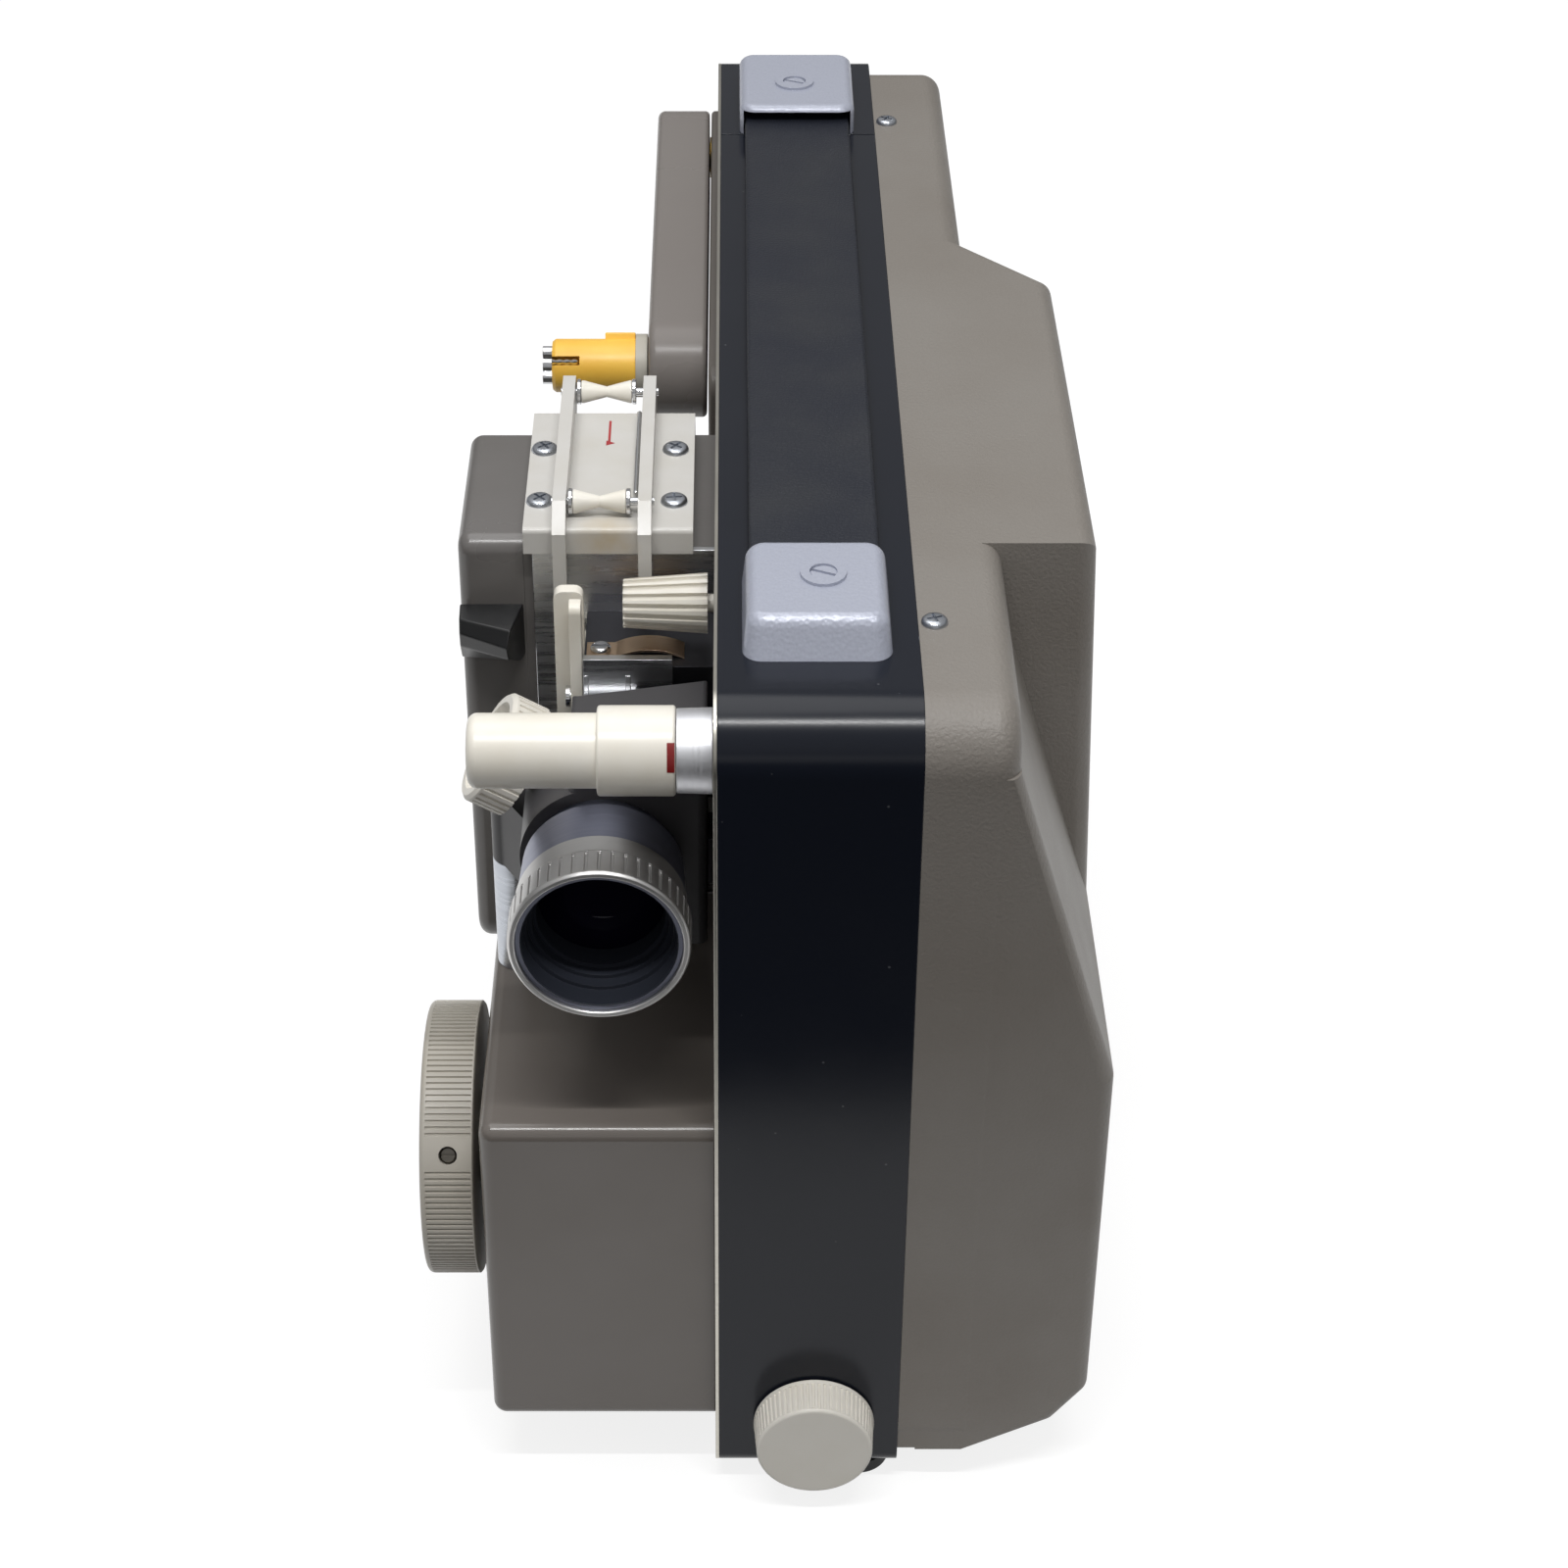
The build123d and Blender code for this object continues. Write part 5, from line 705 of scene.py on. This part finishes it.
def cross_screw(radius, height, length):
    """A domed screw with a cross recess."""
    bm = turned(domed_head(radius, height, SHANK_RADIUS, length), 32, closed=False)
    along = slit(radius * 1.15, CROSS_WIDTH)
    across = [(direction[1::-1] + (0,), distance) for direction, distance in along]
    pocket(bm, (0, 0, height), (0, 0, 1), [along, across], CROSS_DEPTH)
    return bm


COVER_SCREW_X = BAND_WIDTH + 3.3
cover_places = [at(COVER_SCREW_X, 37, TOP), at(COVER_SCREW_X, 284, TOP)]
frames = [stand(place, (0, 0, 1), (math.cos(turn), math.sin(turn), 0))
          for place, turn in zip(cover_places, (0.3, 1.1))]
put(cross_screw(2.75, 1.2, 6.0), frames, "cover_screw_heads", zinc, "chassis", ["cover_screws"],
    bevel_mm=0.04)
GUIDE_TOP = TOP - 8.5
# X and Y of each guide screw, and how far its cross is turned, in radians.
guide_turns = ((-38.2, 100, 0.75), (-38.2, 123, 0.6), (-8.9, 100, 0.1), (-8.9, 123, 0.9))
frames = [stand(at(x, y, GUIDE_TOP), (0, 0, 1), (math.cos(turn), math.sin(turn), 0))
          for x, y, turn in guide_turns]
put(cross_screw(3.0, 1.2, 7.1), frames, "guide_screw_heads", zinc, "chassis", ["guide_screws"], bevel_mm=0.04)
bm = turned([(0, 1.2), (2.55, 1.2), (2.95, 0.9), (2.95, 0), (1.5, 0), (1.5, -10), (0, -10)], 32, closed=False)
pocket(bm, (0, 0, 1.2), (0, 0, 1), [slit(7, 0.8)], 0.6)
CAP_SCREW_Z = TOP + 7.2
SLOT_TURN = math.radians(-25)
slot = (math.cos(SLOT_TURN), math.sin(SLOT_TURN), 0)
frames = [stand(at(x, y, CAP_SCREW_Z), (0, 0, 1), slot) for x, y in ((22.1, 42.5), (20.1, 291.0))]
put(bm, frames, "handle_screw_heads", silver_lacquer, "chassis", ["handle_screws"], bevel_mm=0.04)
print("eight screws")

# %% [markdown]
# The motor cover's lower front corner is square where it meets the band. The CAD node has a
# rounded layer there, so a small moulded corner closes the gap.

# %% Lower front corner of the motor cover
COVER_LOW = 10.5
CORNER_MIDDLE, CORNER_SIZE = (2.15, 4.85, 4.25), (4.2, 9.0, 8.5)
bm = bmesh.new()
bmesh.ops.create_cube(bm, size=1.0, matrix=Matrix.Translation(CORNER_MIDDLE)
                      @ Matrix.Diagonal((*CORNER_SIZE, 1)))
rims = [edge for edge in bm.edges if all(vert.co.y < 1 and vert.co.z < 1 for vert in edge.verts)]
bmesh.ops.bevel(bm, geom=rims, offset=0.8, affect="EDGES", segments=4, profile=0.5, material=-1)
put(bm, [stand(at(BAND_WIDTH, 0, COVER_LOW), (0, 0, 1), (1, 0, 0))], "cover_corner", grained_abs, "chassis")
print("corner under the motor cover")

# %% [markdown]
# ## Film rollers
# Each roller is two cones that meet at a sharp waist, so only the film's edges touch it.
# Thin bright discs close its ends.

# %% Rollers
for name in ("front_roller", "rear_roller"):
    low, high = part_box(name)
    length = (high[0] - low[0]) / MM
    half = [(0.95, 1.0), (2.45, 1.0), (2.6, 1.15), (2.6, 1.5), (1.25, length / 2 - 0.1)]
    outline = half + [(1.2, length / 2)] + [(radius, length - z) for radius, z in reversed(half)]
    middle = (Vector(low) + Vector(high)) / 2
    frames = [stand((low[0], middle.y, middle.z), (1, 0, 0), (0, 0, 1))]
    put(turned(outline, 48), frames, name + "_cones", cream, name, [name])
    disc = [(0.95, 0.0), (2.75, 0.0), (2.9, 0.15), (2.9, 0.8), (2.75, 0.95), (0.95, 0.95)]
    frames.append(stand((high[0], middle.y, middle.z), (-1, 0, 0), (0, 0, 1)))
    put(turned(disc, 40), frames, name + "_discs", chrome, name)
print("rollers of", round(length, 2), "mm")

# %% [markdown]
# ## Function dial and its screw
# The dial has some 130 fine ribs, a rounded outer edge, a plain band beside the housing and
# a smooth pad. A set screw sits in a hole in the pad, 33 degrees above the front.

# %% Dial
DIAL_STEPS = 272
RIBS_LOW, RIBS_HIGH = 0.7, 10.6
PAD_HALF_ANGLE = 6.0
HOLE_RADIUS, HOLE_DEPTH, HOLE_HEIGHT = 2.0, 4.0, 5.6
low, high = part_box("function_dial")
DIAL_R = (high[2] - low[2]) / 2 / MM
dial_place = Vector((at(-52.3, 0, 0).x, (low[1] + high[1]) / 2, (low[2] + high[2]) / 2))
pad = math.radians(33)
pad_mark = (0, -math.cos(pad), math.sin(pad))
rim = [(DIAL_R - 0.5, 0), (DIAL_R, 0.4), (DIAL_R, RIBS_LOW), (DIAL_R, RIBS_HIGH)]
rim += arc((DIAL_R - 1.3, RIBS_HIGH), 1.3, 15, 90, 6)
back = [(10, 0), (10, -2.2), (4, -2.2), (4, -16.3), (0, -16.3)]
bm = turned([(0, 11.9)] + rim[::-1] + back, DIAL_STEPS, closed=False)
count = grooves(bm, RIBS_LOW, RIBS_HIGH, 0.42, 0.45, keep=lambda angle: abs(angle) > PAD_HALF_ANGLE)
turns = [math.tau * i / 16 for i in range(16)]
walls = [((0, math.cos(turn), math.sin(turn)), HOLE_RADIUS) for turn in turns]
pocket(bm, (DIAL_R, 0, HOLE_HEIGHT), (1, 0, 0), [walls], HOLE_DEPTH)
put(bm, [stand(dial_place, (-1, 0, 0), pad_mark)], "dial", stone, "dial", ["function_dial"],
    crease=40, bevel_mm=0.07)
bm = turned([(0, 0), (1.5, 0), (1.7, -0.2), (1.7, -2.0), (0, -2.0)], 28, closed=False)
pocket(bm, (0, 0, 0), (0, 0, 1), [slit(5, 0.55)], 0.5)
screw_place = dial_place + Vector((-HOLE_HEIGHT, 0, 0)) * MM + Vector(pad_mark) * (DIAL_R - 1.0) * MM
put(bm, [stand(screw_place, pad_mark, (1, 0, 0))], "dial_set_screw", dark_steel, "dial", ["dial_screw"],
    bevel_mm=0.04)
print("dial radius", round(DIAL_R, 2), "mm with", count, "grooves")

# %% [markdown]
# ## Tilt knob
# A slightly tapered cream knob on the front, with shallow ribs and a flat face.

# %% Tilt knob
low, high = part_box("tilt_knob")
tilt_place = Vector(((low[0] + high[0]) / 2, at(0, -0.5, 0).y, (low[2] + high[2]) / 2))
face_edge = arc((12.1, 8.2), 0.8, 0, 90, 5)
outline = [(0, 9.0), (11.3, 9.0)] + face_edge[::-1] + [(13.35, 1.1), (13.5, 0.9), (13.5, 0.2), (13.3, 0)]
outline += [(3, 0), (3, -3.5), (6, -3.5), (6, -12.5), (3, -12.5), (3, -13.5), (0, -13.5)]
bm = turned(outline, 128, closed=False)
count = grooves(bm, 1.2, 8.1, 0.32, 0.35)
frames = [stand(tilt_place, (0, -1, 0), (0, 0, 1))]
put(bm, frames, "tilt_knob_turned", tilt_stone, "tilt_knob", ["tilt_knob"], crease=40, bevel_mm=0.1)
print("tilt knob with", count, "ribs")

# %% [markdown]
# ## Lens
# From the front: a ring with broad ribs and narrow grooves, a smooth paler band, the barrel
# that tapers into the carrier, a black stepped hood inside, and the front glass.

# %% Lens barrel and ring
LENS_X, LENS_DOWN = -23.0, 53.5
RING_RIBS, STEPS_PER_RIB = 44, 4
lens_place = at(LENS_X, 0, TOP - LENS_DOWN)
lens_frame = [stand(lens_place, (0, 1, 0), (1, 0, 0))]
shell = [(16.02, 1.0), (16.9, 1.0), (16.9, 8.35), (17.5, 8.35), (17.7, 8.6), (17.65, 13.6), (17.4, 13.9),
         (16.75, 26), (14.9, 26), (14.9, 53.6), (14.5, 54), (10, 54), (10, 20), (16.02, 20)]
# The cone behind the pale band takes the darker blue-grey, which is painted shade; the band keeps the ring's
# aluminium.
barrel = put(turned(shell, 128), lens_frame, "lens_shell", barrel_painted_shade, "lens", ["lens_barrel"])
pale_start, pale_end = at(0, 8, 0).y, at(0, 13.8, 0).y
second_finish(barrel, lens_metal, lambda normal, middle: pale_start < middle.y < pale_end)
hood = [(15.99, 1.0), (15.8, 1.2), (15.8, 6), (14.9, 6), (14.9, 8.5), (13.95, 8.5), (13.95, 11), (13.2, 11),
        (13.2, 19.9), (15.99, 19.9)]
put(turned(hood, 128), lens_frame, "lens_hood", lens_black, "lens", bevel_mm=0.06)
ring = [(17.0, 0.3), (17.25, 0), (18.0, 0), (18.35, 0.35), (18.6, 0.9), (18.6, 7.2), (18.3, 8), (17.0, 8)]
bm = turned(ring, RING_RIBS * STEPS_PER_RIB)
count = grooves(bm, 0.9, 7.2, 0.5, 0.3, every=STEPS_PER_RIB)
put(bm, lens_frame, "zoom_ring_ribbed", lens_metal, "zoom_ring", ["zoom_ring"], crease=38, bevel_mm=0.09)
print("zoom ring with", count, "grooves")

# %% Lens glass
GLASS_RADIUS, GLASS_FRONT, GLASS_CURVE = 13, 13, 30
GLASS_STEPS = 12
radii = [GLASS_RADIUS * i / GLASS_STEPS for i in range(GLASS_STEPS + 1)]
crown = [(radius, GLASS_FRONT + GLASS_CURVE - math.sqrt(GLASS_CURVE ** 2 - radius ** 2))
         for radius in radii]
bm = turned(crown + [(GLASS_RADIUS, 17), (0, 17)], 96, closed=False)
rear = turned([(0, 48), (10, 48), (10, 51), (0, 51)], 64, closed=False)
rear_mesh = bpy.data.meshes.new("rear_element")
rear.to_mesh(rear_mesh)
rear.free()
bm.from_mesh(rear_mesh)
put(bm, lens_frame, "lens_elements", coated_glass, "lens", ["lens_glass"])
print("front and rear element")

# %% [markdown]
# ## Marks and small parts
# A red arrow lies on the film guide: a thin shaft along the film's way, with a head that
# points across it, a quarter turn from the shaft. A dark red inlay on the control knob stands
# beside its collar. Both are of almost no thickness.

# %% Arrow and inlay
SHAFT_SIZE = (0.55, 9.6, 0.05)
HEAD_RADIUS = 1.3
bm = bmesh.new()
bmesh.ops.create_cube(bm, size=1.0, matrix=Matrix.Diagonal((*SHAFT_SIZE, 1)))
bmesh.ops.translate(bm, verts=bm.verts, vec=(0, 6.8, 0))
bmesh.ops.create_cone(bm, cap_ends=True, segments=3, radius1=HEAD_RADIUS, radius2=HEAD_RADIUS,
                      depth=SHAFT_SIZE[2], matrix=Matrix.Translation((0, HEAD_RADIUS, 0))
                      @ Matrix.Rotation(math.radians(-90), 4, "Z"))
arrow_place = at(-23.9, 124.8, GUIDE_TOP + 0.03)
put(bm, [stand(arrow_place, (0, 0, 1), (1, 0, 0))], "film_arrow", red_paint, "chassis")

INLAY_RADIUS, INLAY_TURN = 9.04, 38
bm = bmesh.new()
strip = [bm.verts.new((INLAY_RADIUS, 0, z)) for z in (0.4, 1.9)]
strip = strip + [bm.edges.new(strip)]
bmesh.ops.spin(bm, geom=strip, cent=(0, 0, 0), axis=(0, 0, 1), angle=math.radians(INLAY_TURN), steps=12)
middle_turn = math.radians(25 - INLAY_TURN / 2)
index_mark = (0, -math.cos(middle_turn), math.sin(middle_turn))
place = at(-7.1, 14.0, TOP - 15.4)
mark = put(bm, [stand(place, (-1, 0, 0), index_mark)], "index_inlay", dark_red, "control_knob")
skin_wall = mark.modifiers.new("thickness", "SOLIDIFY")
skin_wall.thickness = 0.04 * MM
print("arrow and inlay at", [round(v, 4) for v in arrow_place])

# %% [markdown]
# ## Reel hubs
# A reel slips over a yellow hub and is driven by the key beside the collar. Near the tip a
# slot holds a bright spring latch, drawn here as a row of beads, as it glitters in the
# picture. The hub turns freely, so its key and slot stand as the picture shows them.

# %% Hubs and their latches
HUB_RADIUS, HUB_BORE, HUB_LENGTH = 6.5, 2.5, 20.3
SLOT_UP, KEY_TURN = math.radians(38), math.radians(80)
for hub, body in (("supply_hub", "supply_spindle"), ("takeup_hub", "takeup_spindle")):
    low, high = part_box(hub)
    hub_place = Vector((high[0], (low[1] + high[1]) / 2, low[2] + HUB_RADIUS * MM))
    slot_mark = (0, -math.cos(SLOT_UP), math.sin(SLOT_UP))
    outline = [(HUB_BORE, 0), (HUB_RADIUS, 0), (HUB_RADIUS, 11.0), (HUB_RADIUS, 19.5),
               (5.9, HUB_LENGTH), (HUB_BORE, HUB_LENGTH)]
    bm = turned(outline, 96)
    slot_walls = [((0, 1, 0), 1.1), ((0, -1, 0), 1.1), ((0, 0, -1), 3.6)]
    pocket(bm, (HUB_RADIUS, 0, 17.2), (1, 0, 0), [slot_walls], 3.2)
    key = bmesh.ops.create_cube(bm, size=1.0, matrix=Matrix.Rotation(KEY_TURN, 4, "Z")
                                @ Matrix.Translation((6.6, 0, 3.8)) @ Matrix.Diagonal((2.8, 2.4, 7.4, 1)))
    key_edges = list({edge for vert in key["verts"] for edge in vert.link_edges})
    bmesh.ops.bevel(bm, geom=key_edges, offset=0.35, affect="EDGES", segments=3, profile=0.5, material=-1)
    frames = [stand(hub_place, (-1, 0, 0), slot_mark)]
    put(bm, frames, hub + "_moulded", yellow, body, [hub], bevel_mm=0.15)
    beads = [(0, 0)] + [(0.95 - 0.35 * (i % 2), 0.3 + 0.9 * i) for i in range(8)] + [(0, 6.9)]
    latch_place = hub_place + Vector((-20.6, 0, 0)) * MM + Vector(slot_mark) * 5.2 * MM
    frames = [stand(latch_place, (1, 0, 0), (0, 0, 1))]
    put(turned(beads, 20, closed=False), frames, hub + "_latch", chrome, body)
print("hub of", round(high[0] / MM - low[0] / MM, 1), "mm with its latch")

# %% Materials of the nodes that stay as they are
KEPT = {
    "lamp_socket": ceramic, "lamp_bulb": bulb_glass, "film_claw": steel,
    "shutter_blade": blackened, "drive_shaft": steel, "drive_pulley": black_plastic,
    "drive_belt": belt_rubber, "shaft_bearings": brass, "motor_can": zinc,
    "motor_shaft": steel, "motor_pulley": brass, "cooling_fan": black_plastic,
    "transformer": copper,
}
for node, material in KEPT.items():
    mesh = frame["nodes"][node].data
    mesh.materials.clear()
    mesh.materials.append(material)
print("painted", len(KEPT), "nodes in place")
